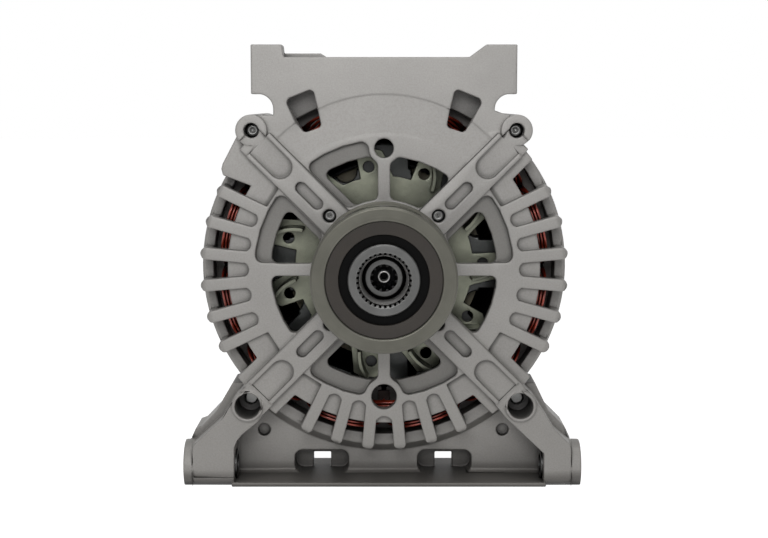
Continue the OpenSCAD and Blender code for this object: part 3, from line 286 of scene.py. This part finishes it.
def from_shaft(tree, place):
    """Distance from the shaft, place along it, and height above it"""
    split = node(tree, "SeparateXYZ")
    tree.links.new(place, split.inputs[0])
    flat = node(tree, "CombineXYZ")
    tree.links.new(split.outputs["X"], flat.inputs["X"])
    tree.links.new(split.outputs["Z"], flat.inputs["Z"])
    length = node(tree, "VectorMath", _operation="LENGTH")
    tree.links.new(flat.outputs[0], length.inputs[0])
    return length.outputs["Value"], split.outputs["Y"], split.outputs["Z"]


def between(tree, value, low, high):
    """0 up to the low value and 1 from the high one on; the low one may be the larger"""
    span = node(tree, "MapRange")
    span.inputs["From Min"].default_value = low
    span.inputs["From Max"].default_value = high
    tree.links.new(value, span.inputs["Value"])
    return span.outputs["Result"]


def both(tree, one, other, inside):
    """White outside, the given colour where both values are 1"""
    product = node(tree, "Math", _operation="MULTIPLY")
    tree.links.new(one, product.inputs[0])
    tree.links.new(other, product.inputs[1])
    return ramp(tree, product.outputs[0], [(0.0, (1, 1, 1)), (1.0, inside)])


def recess_shade(tree, place):
    """Painted shade: darker low down, on the foot's floor and on the sunk floors round the windows"""
    radius, along, height = from_shaft(tree, place)
    sunk = both(tree, between(tree, along, *SUNK_ALONG), between(tree, radius, *SUNK_RADIUS),
                (0.6, 0.6, 0.59))
    foot = both(tree, between(tree, height, *FOOT_HEIGHT), between(tree, along, *FOOT_ALONG),
                (0.6, 0.59, 0.58))
    # painted shade, darker towards the bottom, where less light falls
    low_shade = ramp(tree, between(tree, height, *LOW_SHADE_HEIGHT), [(0.0, (0.84, 0.835, 0.825)), (1.0, (1, 1, 1))])
    return times(tree, times(tree, sunk, low_shade), foot)


def cast_metal(name, colour, dirt_and_shade, depth):
    """Bead blasted casting: fine grain, faint clouds, painted shade and dirt in corners, painted shade deep
    in recesses and low down, and edges lit by a painted highlight and rubbing
    """
    mat, tree, shader, place = blank(name, 0.5, 0.3)
    clouds = grain(tree, place, 38, 3)
    base = ramp(tree, clouds, [(0.3, [c * 0.95 for c in colour]), (0.7, [c * 1.04 for c in colour])])
    specks = ramp(tree, grain(tree, place, 1500, 2),
                  [(0.33, (0.93, 0.925, 0.92)), (0.62, (1.03, 1.03, 1.03))])
    base = times(tree, base, specks)
    rounded, edge = rounded_edges(tree, 0.0009)
    # painted highlight on the cast edges, also standing for rubbed wear
    base = wear_and_edge_highlight(tree, base, edge, (1.22, 1.22, 1.21))
    # painted shade and dirt darken the corners and pockets
    base = times(tree, base, corner_shade(tree, 0.0028, [d / c for d, c in zip(dirt_and_shade, colour)]))
    # painted shade deep in recesses, where the body shades the foot and the windows
    deep_shade = node(tree, "AmbientOcclusion", _samples=8, Distance=0.02)
    base = times(tree, base, ramp(tree, deep_shade.outputs["AO"],
                                  [(0.02, (0.1, 0.1, 0.1)), (0.3, (0.55, 0.55, 0.55)), (0.75, (1, 1, 1))]))
    base = times(tree, base, recess_shade(tree, place))
    tree.links.new(base, shader.inputs["Base Color"])
    fine = grain(tree, place, 2300, 3)
    vary(tree, fine, 0.42, 0.58, shader.inputs["Roughness"])
    rough = bump(tree, shader, fine, depth, 0.6, rounded)
    bump(tree, shader, grain(tree, place, 420, 2), depth * 1.2, 0.35, rough)
    return mat


def turned_metal(name, colour, roughness, metallic=0.9, lines=5200, depth=0.00003, stain=0.85, reach=0.012,
                 lip_highlight=1.0, shaded_core=None):
    """Turned metal: rings about the shaft, painted shade in corners, a painted highlight on the lips, and
    painted shade inside a radius
    """
    mat, tree, shader, place = blank(name, roughness, metallic)
    radius, along, _ = from_shaft(tree, place)
    ring = node(tree, "CombineXYZ")
    tree.links.new(radius, ring.inputs["X"])
    tree.links.new(along, ring.inputs["Y"])
    marks = grain(tree, ring.outputs[0], lines, 2)
    clouds = grain(tree, place, 90, 3)
    base = ramp(tree, clouds, [(0.35, [c * stain for c in colour]), (0.65, colour)])
    base = times(tree, base, ramp(tree, marks, [(0.3, (0.9, 0.9, 0.9)), (0.7, (1.06, 1.06, 1.06))]))
    # painted shade in corners and hollows
    base = times(tree, base, corner_shade(tree, reach, (0.08, 0.08, 0.08), 0.1, 0.7))
    # painted shade inside the given radius
    if shaded_core:
        base = times(tree, base, ramp(tree, between(tree, radius, shaded_core - 0.0001, shaded_core + 0.0001),
                                      [(0.0, (0.1, 0.1, 0.1)), (1.0, (1, 1, 1))]))
    # painted highlight on the lips of turned edges
    if lip_highlight > 1:
        base = wear_and_edge_highlight(tree, base, rounded_edges(tree, 0.0008)[1], (lip_highlight, lip_highlight, lip_highlight * 0.98))
    tree.links.new(base, shader.inputs["Base Color"])
    vary(tree, marks, roughness - 0.07, roughness + 0.09, shader.inputs["Roughness"])
    bump(tree, shader, marks, depth)
    return mat


def plain(name, colour, roughness, metallic=0.0, scale=700, depth=0.00003, wear=0.12, coat=0.0, shade_colour=None,
          reach=0.003, specular=0.5):
    """Even finish with a fine grain, slight clouds and painted shade in the corners"""
    mat, tree, shader, place = blank(name, roughness, metallic)
    shader.inputs["Specular IOR Level"].default_value = specular
    shader.inputs["Coat Weight"].default_value = coat
    shader.inputs["Coat Roughness"].default_value = 0.15
    clouds = grain(tree, place, 120, 3)
    base = ramp(tree, clouds, [(0.3, [c * (1 - wear) for c in colour]),
                               (0.7, [min(1, c * (1 + wear)) for c in colour])])
    # painted shade in the corners
    base = times(tree, base, corner_shade(tree, reach, shade_colour or (0.45, 0.44, 0.43)))
    tree.links.new(base, shader.inputs["Base Color"])
    fine = grain(tree, place, scale, 3)
    vary(tree, fine, max(0.03, roughness - 0.08), min(1, roughness + 0.08), shader.inputs["Roughness"])
    bump(tree, shader, fine, depth)
    return mat


def layered(name, colour, pitch):
    """Stack of thin sheets along the shaft"""
    mat, tree, shader, place = blank(name, 0.5, 0.6)
    wave = node(tree, "TexWave", _wave_type="BANDS", _bands_direction="Y", _wave_profile="SIN",
                Scale=0.314159 / pitch, Distortion=0.4, Detail=1.0)
    tree.links.new(place, wave.inputs["Vector"])
    base = ramp(tree, wave.outputs["Fac"], [(0.1, [c * 0.55 for c in colour]), (0.5, colour)])
    clouds = ramp(tree, grain(tree, place, 160, 3), [(0.3, (0.8, 0.78, 0.75)), (0.7, (1.1, 1.1, 1.1))])
    base = times(tree, base, clouds)
    tree.links.new(base, shader.inputs["Base Color"])
    bump(tree, shader, wave.outputs["Fac"], 0.00008)
    return mat


def enamel(name, colour):
    """Enamelled copper wire, a little uneven, with painted shade between the turns and deep in the heads"""
    mat, tree, shader, place = blank(name, 0.3, 0.35)
    shader.inputs["Coat Weight"].default_value = 0.4
    shader.inputs["Coat Roughness"].default_value = 0.2
    base = ramp(tree, grain(tree, place, 260, 2),
                [(0.3, [c * 0.55 for c in colour]), (0.5, colour),
                 (0.72, [min(1, c * 1.5) for c in colour])])
    # painted shade between the wires, then deeper in the heads
    base = times(tree, base, corner_shade(tree, 0.002, (0.3, 0.22, 0.2)))
    base = times(tree, base, corner_shade(tree, 0.014, (0.06, 0.04, 0.04), 0.06, 0.6))
    tree.links.new(base, shader.inputs["Base Color"])
    vary(tree, grain(tree, place, 500, 2), 0.22, 0.42, shader.inputs["Roughness"])
    return mat


def finishes(scene):
    """One material for each slot of the record"""
    casting, pulley, winding = scene.alternator_casting, scene.alternator_pulley, scene.alternator_winding
    metal, dirt_and_shade = list(casting.colour), list(casting.dirt_and_shade)
    return {
        "cast_aluminium": cast_metal("Blasted casting", metal, dirt_and_shade, casting.grain),
        # painted shade inside the socket at the shaft's end
        "steel": turned_metal("Turned steel", (0.12, 0.12, 0.118), 0.3, reach=0.02, shaded_core=0.0054),
        "bearing_steel": turned_metal("Ground steel", (0.5, 0.5, 0.5), 0.2),
        "seal_rubber": plain("Brown seal", list(pulley.seal), 0.55, scale=1600, depth=0.00004, wear=0.18,
                             specular=0.35),
        "zinc_steel": plain("Zinc plate", (0.42, 0.42, 0.41), 0.35, metallic=0.5, scale=900,
                            shade_colour=(0.2, 0.2, 0.2), reach=0.0008),
        "lamination_steel": layered("Laminations", (0.16, 0.15, 0.145), 0.001),
        "enamelled_copper": enamel("Enamelled copper", list(winding.colour)),
        "black_plastic": plain("Black moulding", (0.022, 0.022, 0.023), 0.5, scale=1500),
        "heat_sink_aluminium": plain("Pressed aluminium", (0.5, 0.5, 0.5), 0.4, metallic=0.85, scale=600),
        "diode_metal": plain("Diode case", (0.4, 0.4, 0.38), 0.35, metallic=0.85, scale=600),
        "tinned_brass": plain("Tinned pins", (0.6, 0.57, 0.48), 0.25, metallic=0.9, scale=600),
        "cover_plastic": plain("Cover moulding", (0.028, 0.028, 0.03), 0.48, scale=1300, depth=0.00006),
        "copper_stud": turned_metal("Plated stud", (0.5, 0.42, 0.28), 0.3, lines=1500),
        # painted shade deep among the claw poles
        "pole_paint": plain("Pole varnish", (0.045, 0.05, 0.047), 0.34, metallic=0.3, scale=500,
                            depth=0.00006, wear=0.3, coat=0.2, shade_colour=(0.04, 0.04, 0.04), reach=0.02,
                            specular=0.4),
        "bobbin_plastic": plain("Bobbin moulding", (0.3, 0.27, 0.18), 0.5, scale=800),
        # painted shade deep behind the fan's blades
        "fan_steel": plain("Fan sheet", (0.25, 0.26, 0.2), 0.34, metallic=0.6, scale=420, depth=0.00004,
                           wear=0.15, shade_colour=(0.05, 0.05, 0.045), reach=0.016),
        "slip_ring_copper": turned_metal("Slip ring copper", (0.65, 0.34, 0.18), 0.18),
        # the lip setting paints a highlight on the lips of the hub and the rim
        "hub_steel": turned_metal("Oiled hub", (0.105, 0.105, 0.103), 0.3, stain=0.8, lip_highlight=1.7),
        "pulley_steel": turned_metal("Turned rim", list(pulley.rim), 0.3, metallic=0.85, lip_highlight=2.6),
        "black_rubber": plain("Lip seal", (0.002, 0.002, 0.002), 0.5, scale=1200, specular=0.05),
        "carbon": plain("Carbon", (0.03, 0.03, 0.032), 0.5, metallic=0.3, scale=1500),
        "spring_steel": turned_metal("Bright wire", (0.5, 0.5, 0.5), 0.25),
    }


def polished():
    """Bright turned cone, a little oiled"""
    return turned_metal("Polished cone", (0.5, 0.49, 0.475), 0.3, metallic=0.6, reach=0.0015)


def finish_of(name):
    """The material of a CAD node"""
    return bpy.data.materials[SLOT_TO_MATERIAL[SLOT_OF[name]]]


# ---------------------------------------------------------------- making pieces

def keep_inside(bm, low, high):
    """Moves stray corners back into the node's own box"""
    for v in bm.verts:
        for i in range(3):
            v.co[i] = min(max(v.co[i], low[i]), high[i])


def in_order(bm):
    """Sorts triangles by their corners, because triangulate leaves them in another order each run"""
    bm.verts.index_update()
    count = len(bm.verts)

    def place(face):
        a, b, c = sorted(v.index for v in face.verts)
        return (a * count + b) * count + c

    bm.faces.sort(key=place)


def mend(bm, tree, reach):
    """Collapses the small faces that a bevel turned inside out"""
    for _ in range(MEND_ROUNDS):
        short = set()
        for face in bm.faces:
            _, normal, _, far = tree.find_nearest(face.calc_center_median())
            if normal is not None and far < reach and face.normal.dot(normal) < MEND_TURN:
                short.update(e for e in face.edges if e.calc_length() < MEND_EDGE)
        if not short:
            break
        bm.edges.index_update()
        bmesh.ops.collapse(bm, edges=sorted(short, key=lambda e: e.index), uvs=False)
        bm.normal_update()


def make_piece(name, bm, material, body, weighted=True):
    """Turns a bmesh into an object of the scene that rides on a body"""
    mesh = bpy.data.meshes.new(name)
    bm.to_mesh(mesh)
    bm.free()
    mesh.materials.append(material)
    for face in mesh.polygons:
        face.use_smooth = True
    piece = bpy.data.objects.new(name, mesh)
    bpy.context.scene.collection.objects.link(piece)
    if weighted:
        even = piece.modifiers.new("Even shading", "WEIGHTED_NORMAL")
        even.weight = 80
        even.keep_sharp = True
    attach(piece, body)
    return piece


def softened(name, edge, angle=32.0):
    """Copy of a CAD node with its edges rounded, where they turn by more than the angle"""
    bm = bmesh.new()
    bm.from_mesh(NODES[name].data)
    bmesh.ops.remove_doubles(bm, verts=bm.verts, dist=SAME_POINT)
    tree = BVHTree.FromBMesh(bm)
    bmesh.ops.remove_doubles(bm, verts=bm.verts, dist=SHORT_EDGE)
    bmesh.ops.dissolve_limit(bm, angle_limit=math.radians(1), use_dissolve_boundaries=False,
                             verts=bm.verts, edges=bm.edges, delimit={"NORMAL"})
    bmesh.ops.triangulate(bm, faces=bm.faces, quad_method="BEAUTY", ngon_method="BEAUTY")
    sharp = [e for e in bm.edges if e.is_manifold and e.calc_face_angle(0) > math.radians(angle)]
    bmesh.ops.bevel(bm, geom=sharp, offset=edge, offset_type="OFFSET", segments=2, profile=0.5,
                    affect="EDGES", clamp_overlap=False, loop_slide=False, material=-1)
    bmesh.ops.triangulate(bm, faces=bm.faces)
    in_order(bm)
    mend(bm, tree, edge + MEND_REACH)
    low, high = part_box(name)
    keep_inside(bm, low, high)
    piece = make_piece(name + "_soft", bm, finish_of(name), BODY_OF[name])
    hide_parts(name)


def wires(name, paths, radius, material, body):
    """Round wires along smooth paths, as one mesh"""
    curve = bpy.data.curves.new(name, "CURVE")
    curve.dimensions = "3D"
    curve.bevel_depth = radius
    curve.bevel_resolution = 1
    curve.resolution_u = 2
    curve.use_fill_caps = True
    for path in paths:
        spline = curve.splines.new("NURBS")
        spline.points.add(len(path) - 1)
        for point, place in zip(spline.points, path):
            point.co = (*place, 1)
        spline.order_u = 4
        spline.use_endpoint_u = True
    holder = bpy.data.objects.new(name + "_path", curve)
    mesh = bpy.data.meshes.new_from_object(holder)
    bpy.data.objects.remove(holder)
    bpy.data.curves.remove(curve)
    bm = bmesh.new()
    bm.from_mesh(mesh)
    bpy.data.meshes.remove(mesh)
    bmesh.ops.recalc_face_normals(bm, faces=bm.faces)
    return make_piece(name, bm, material, body, weighted=False)


def spun(profile, y_front, steps, x=0, z=0):
    """Profile of radii and depths behind a front, spun about an axis along the shaft"""
    bm = bmesh.new()
    verts = [bm.verts.new((x + radius, y_front + depth, z)) for radius, depth in profile]
    edges = [bm.edges.new(pair) for pair in zip(verts, verts[1:])]
    bmesh.ops.spin(bm, geom=verts + edges, cent=(x, 0, z), axis=(0, 1, 0), angle=2 * math.pi, steps=steps,
                   use_merge=True)
    bmesh.ops.remove_doubles(bm, verts=bm.verts, dist=SPUN_POINT)
    bmesh.ops.recalc_face_normals(bm, faces=bm.faces)
    return bm


def turned_piece(name, carrier, y_front, profile):
    """Bright turned piece about the shaft, on the body of a CAD node"""
    bm = spun(profile, y_front, SHAFT_STEPS)
    make_piece(name, bm, bpy.data.materials["Polished cone"], BODY_OF[carrier])


def front_ends(name):
    """Middle of the front end of each loose solid of a CAD node"""
    bm = bmesh.new()
    bm.from_mesh(NODES[name].data)
    bmesh.ops.remove_doubles(bm, verts=bm.verts, dist=SAME_POINT)
    left = set(bm.verts)
    ends = []
    while left:
        seen, todo = set(), [left.pop()]
        while todo:
            vert = todo.pop()
            seen.add(vert)
            todo += [w for e in vert.link_edges for w in [e.other_vert(vert)] if w not in seen]
        left -= seen
        y = min(v.co.y for v in seen)
        tip = [v.co for v in seen if v.co.y < y + END_DEPTH]
        x, z = ((min(c[k] for c in tip) + max(c[k] for c in tip)) / 2 for k in (0, 2))
        ends.append((x, y, z))
    bm.free()
    return sorted(ends)


def about_shaft(radius, angle, y):
    """Point at a radius and an angle about the shaft"""
    return Vector((radius * math.cos(angle), y, radius * math.sin(angle)))


# ---------------------------------------------------------------- operators

class ALTERNATOR_OT_finishes(bpy.types.Operator):
    """Make the materials and give every CAD node its own"""
    bl_idname = "alternator.finishes"
    bl_label = "Finishes"

    def execute(self, context):
        made = finishes(context.scene)
        polished()
        SLOT_TO_MATERIAL.update({slot: mat.name for slot, mat in made.items()})
        for name, piece in NODES.items():
            piece.data.materials.clear()
            piece.data.materials.append(finish_of(name))
        # the slot conductors are painted near black, as painted shade where they are seen through the
        # bracket
        NODES["slot_conductors"].data.materials[0] = plain("Slot liner", (0.03, 0.012, 0.008), 0.5)
        return {"FINISHED"}


class ALTERNATOR_OT_castings(bpy.types.Operator):
    """Round the edges of the two cast brackets"""
    bl_idname = "alternator.castings"
    bl_label = "Castings"

    def execute(self, context):
        for name in ("front_bracket", "rear_bracket"):
            softened(name, context.scene.alternator_casting.edge)
        return {"FINISHED"}


class ALTERNATOR_OT_pulley(bpy.types.Operator):
    """Pulley ring, clutch hub and seals with broken edges"""
    bl_idname = "alternator.pulley"
    bl_label = "Pulley"

    def execute(self, context):
        softened("pulley_ring", context.scene.alternator_pulley.edge, 40)
        softened("clutch_hub", 0.00015, 40)
        softened("rotor_shaft", 0.0002, 40)
        softened("front_seal", 0.0002, 40)
        y_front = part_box("clutch_hub")[0].y
        turned_piece("hub_cone", "clutch_hub", y_front,
                     ((0.0095, 0.0016), (0.0093, 0.003), (0.0089, 0.0054), (0.0086, 0.0082),
                      (0.0092, 0.0084), (0.0097, 0.0082), (0.0097, 0.0018), (0.0095, 0.0016)))
        turned_piece("socket_stop", "rotor_shaft", y_front + 0.0125,
                     ((0.0014, 0.006), (0.0016, 0.0012), (0.0018, 0.0003), (0.0021, 0), (0.0025, 0.0009),
                      (0.0026, 0.006), (0.0014, 0.006)))
        return {"FINISHED"}


class ALTERNATOR_OT_windings(bpy.types.Operator):
    """Wound wires in place of the two winding heads"""
    bl_idname = "alternator.windings"
    bl_label = "Windings"

    def execute(self, context):
        settings = context.scene.alternator_winding
        wire = settings.wire
        pitch = wire * WIRE_PITCH
        first, by_row, by_wire = SLOT_DEPTHS
        for name, out in (("front_winding_head", -1), ("rear_winding_head", 1)):
            low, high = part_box(name)
            y_core = high.y if out < 0 else low.y
            y_tip = low.y if out < 0 else high.y
            outer = high.x - HEAD_SKIN
            band = HEAD_DEPTH / PHASES
            paths = []
            for phase in range(PHASES):
                for coil in range(COILS):
                    start = math.radians(coil * COIL_STEP + phase * PHASE_STEP)
                    for i in range(settings.rows):
                        for j in range(settings.rows):
                            radius = outer - wire - phase * band - i * pitch
                            tip = y_tip - out * (wire + j * pitch + (phase % 2) * PHASE_DROP + i * ROW_DROP)
                            slot_r = outer - first - i * by_row - j * by_wire
                            spread = math.radians(FAN_OUT * (j - 1))
                            paths.append(coil_end(start, radius, slot_r, y_core, tip, spread))
            piece = wires(name + "_wires", paths, wire, finish_of(name), "housing")
            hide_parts(name)
        return {"FINISHED"}


def coil_end(start, radius, slot_r, y_core, tip, spread):
    """One wire's way out of a slot, over to the same phase's next slot, and back in"""
    span = math.radians(COIL_STEP)
    rise = tip - y_core
    stops = [(0.0, slot_r, 0.0), (0.02, slot_r, 0.3), (0.06, (slot_r + radius) / 2, 0.62),
             (0.2, radius, 0.93), (0.38, radius, 1.0), (0.62, radius, 1.0), (0.8, radius, 0.93),
             (0.94, (slot_r + radius) / 2, 0.62), (0.98, slot_r, 0.3), (1.0, slot_r, 0.0)]
    return [about_shaft(r, start + span * t + spread * (1 - abs(2 * t - 1)), y_core + rise * h)
            for t, r, h in stops]


class ALTERNATOR_OT_fans(bpy.types.Operator):
    """Sheet metal fans"""
    bl_idname = "alternator.fans"
    bl_label = "Fans"

    def execute(self, context):
        for name in ("front_fan", "rear_fan"):
            softened(name, 0.0003, 40)
        return {"FINISHED"}


class ALTERNATOR_OT_rotor(bpy.types.Operator):
    """Claw poles with rounded edges"""
    bl_idname = "alternator.rotor"
    bl_label = "Rotor"

    def execute(self, context):
        for name in ("front_claw_pole", "rear_claw_pole"):
            softened(name, 0.0006, 35)
        return {"FINISHED"}


class ALTERNATOR_OT_fasteners(bpy.types.Operator):
    """Bolts, nuts, screws and bushes with broken edges"""
    bl_idname = "alternator.fasteners"
    bl_label = "Fasteners"

    def execute(self, context):
        for name in ("through_bolts", "retainer_screws", "bearing_retainer", "foot_bushes", "cover_nuts",
                     "cover_studs", "output_nut", "output_stud"):
            softened(name, 0.00025, 40)
        for i, (x, y, z) in enumerate(front_ends("retainer_screws")):
            self.screw_end("screw_end_%d" % i, x, y, z, 0.0022, 0.0026, 0.0012)
        for i, (x, y, z) in enumerate(front_ends("through_bolts")):
            if z > 0:
                self.screw_end("bolt_end_%d" % i, x, y, z, 0.005, 0.0027, 0.0013)
        return {"FINISHED"}

    @staticmethod
    def screw_end(name, x, y, z, length, radius, dimple):
        """End with a centre dimple that stands out in front of a screw, and 1 mm into it"""
        back = length + 0.001
        profile = ((0, 0.0011), (dimple * 0.5, 0.0009), (dimple, 0.0001), (dimple + 0.0002, 0),
                   (radius - 0.0008, 0.0001), (radius, 0.0009), (radius, back), (0, back))
        bm = spun(profile, y - length, SCREW_STEPS, x, z)
        make_piece(name, bm, finish_of("through_bolts"), "housing")


class ALTERNATOR_OT_rear_end(bpy.types.Operator):
    """Cover, socket, regulator and rectifier with rounded edges"""
    bl_idname = "alternator.rear_end"
    bl_label = "Rear end"

    def execute(self, context):
        softened("rear_cover", 0.0005, 35)
        for name in ("connector_socket", "voltage_regulator", "brush_holder", "output_insulator",
                     "rectifier_board"):
            softened(name, 0.0003, 40)
        for brush in ("outer_brush", "inner_brush"):
            self.coil_spring(brush)
        return {"FINISHED"}

    @staticmethod
    def coil_spring(brush):
        """Copy of a brush's spring with a mesh of its own, on the spring's body; the real spring shortens
        against its fixed upper end while the brush slides up, which this copy is not made to do
        """
        name = brush + "_spring"
        bm = bmesh.new()
        bm.from_mesh(NODES[name].data)
        piece = make_piece(name + "_coils", bm, finish_of(name), BODY_OF[name],
                           weighted=False)
        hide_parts(name)
        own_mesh(piece)


def looked_at(tree):
    """White where the camera, or a mirror or a pane before it, looks straight at a surface"""
    path = node(tree, "LightPath")
    mirror = node(tree, "Math", _operation="MAXIMUM")
    tree.links.new(path.outputs["Is Glossy Ray"], mirror.inputs[0])
    tree.links.new(path.outputs["Is Transmission Ray"], mirror.inputs[1])
    seen = node(tree, "Math", _operation="MAXIMUM")
    tree.links.new(path.outputs["Is Camera Ray"], seen.inputs[0])
    tree.links.new(mirror.outputs[0], seen.inputs[1])
    return seen.outputs[0]


def lamp(name, place, target, size, power):
    """Plain white area lamp that faces a point"""
    data = bpy.data.lights.new(name, "AREA")
    data.shape = "RECTANGLE"
    data.size, data.size_y = size
    data.energy = power
    obj = bpy.data.objects.new(name, data)
    obj.location = place
    obj.rotation_euler = (Vector(target) - Vector(place)).to_track_quat("-Z", "Y").to_euler()
    bpy.context.scene.collection.objects.link(obj)


class ALTERNATOR_OT_stage(bpy.types.Operator):
    """Floor, lamps, world and camera"""
    bl_idname = "alternator.stage"
    bl_label = "Stage"

    def execute(self, context):
        scene = context.scene
        settings = scene.alternator_stage
        bm = bmesh.new()
        bmesh.ops.create_circle(bm, cap_ends=True, segments=96, radius=FLOOR_RADIUS)
        bmesh.ops.translate(bm, verts=bm.verts, vec=(0, 0, FLOOR_Z))
        mesh = bpy.data.meshes.new("floor")
        bm.to_mesh(mesh)
        bm.free()
        floor = bpy.data.objects.new("floor", mesh)
        scene.collection.objects.link(floor)
        mesh.materials.append(self.floor_finish(settings.floor))

        world = bpy.data.worlds.new("Studio")
        world.use_nodes = True
        tree = world.node_tree
        back = tree.nodes["Background"]
        level = node(tree, "MapRange")
        level.inputs["To Min"].default_value = settings.sky
        level.inputs["To Max"].default_value = 1.0
        tree.links.new(looked_at(tree), level.inputs["Value"])
        tree.links.new(level.outputs["Result"], back.inputs["Strength"])
        back.inputs["Color"].default_value = (1, 1, 1, 1)
        scene.world = world

        for name, place, target, size in LAMPS:
            lamp(name, place, target, size, getattr(settings, name))

        data = bpy.data.cameras.new("camera")
        data.sensor_width = 36
        data.lens = settings.lens
        data.clip_start, data.clip_end = 0.01, 50
        camera = bpy.data.objects.new("camera", data)
        camera.location = CAMERA_PLACE
        camera.rotation_euler = (math.pi / 2 - settings.tilt, 0, 0)
        scene.collection.objects.link(camera)
        scene.camera = camera
        scene.view_settings.view_transform = "Standard"
        return {"FINISHED"}

    @staticmethod
    def floor_finish(colour):
        """Pale floor that the camera sees nearly white, with the shadow kept"""
        mat, tree, shader, _ = blank("Pale floor", 0.9, 0.0)
        shader.inputs["Base Color"].default_value = (*colour, 1)
        shader.inputs["Specular IOR Level"].default_value = 0.0
        shader.inputs["Emission Color"].default_value = (1, 1, 1, 1)
        share = node(tree, "Math", _operation="MULTIPLY")
        share.inputs[1].default_value = FLOOR_WHITE
        tree.links.new(looked_at(tree), share.inputs[0])
        tree.links.new(share.outputs[0], shader.inputs["Emission Strength"])
        return mat


class ALTERNATOR_PT_looks(bpy.types.Panel):
    """The steps of the alternator's looks"""
    bl_idname = "ALTERNATOR_PT_looks"
    bl_label = "Alternator looks"
    bl_space_type = "VIEW_3D"
    bl_region_type = "UI"
    bl_category = "Alternator"

    def draw(self, context):
        for step in STEPS:
            self.layout.operator("alternator." + step)
        for group in GROUPS:
            settings = getattr(context.scene, group)
            box = self.layout.box()
            for key in settings.__annotations__:
                box.prop(settings, key)


STEPS = ("finishes", "castings", "pulley", "windings", "fans", "rotor", "fasteners", "rear_end", "stage")
GROUPS = {
    "alternator_casting": CastingSettings,
    "alternator_pulley": PulleySettings,
    "alternator_winding": WindingSettings,
    "alternator_stage": StageSettings,
}
CLASSES = (*GROUPS.values(), ALTERNATOR_OT_finishes, ALTERNATOR_OT_castings, ALTERNATOR_OT_pulley,
           ALTERNATOR_OT_windings, ALTERNATOR_OT_fans, ALTERNATOR_OT_rotor, ALTERNATOR_OT_fasteners,
           ALTERNATOR_OT_rear_end, ALTERNATOR_OT_stage, ALTERNATOR_PT_looks)


def register():
    for cls in CLASSES:
        bpy.utils.register_class(cls)
    for name, cls in GROUPS.items():
        setattr(bpy.types.Scene, name, PointerProperty(type=cls))


def unregister():
    for name in GROUPS:
        delattr(bpy.types.Scene, name)
    for cls in reversed(CLASSES):
        bpy.utils.unregister_class(cls)


def main():
    """Makes the looks step by step"""
    register()
    for step in STEPS:
        getattr(bpy.ops.alternator, step)()


if __name__ == "__main__":
    main()
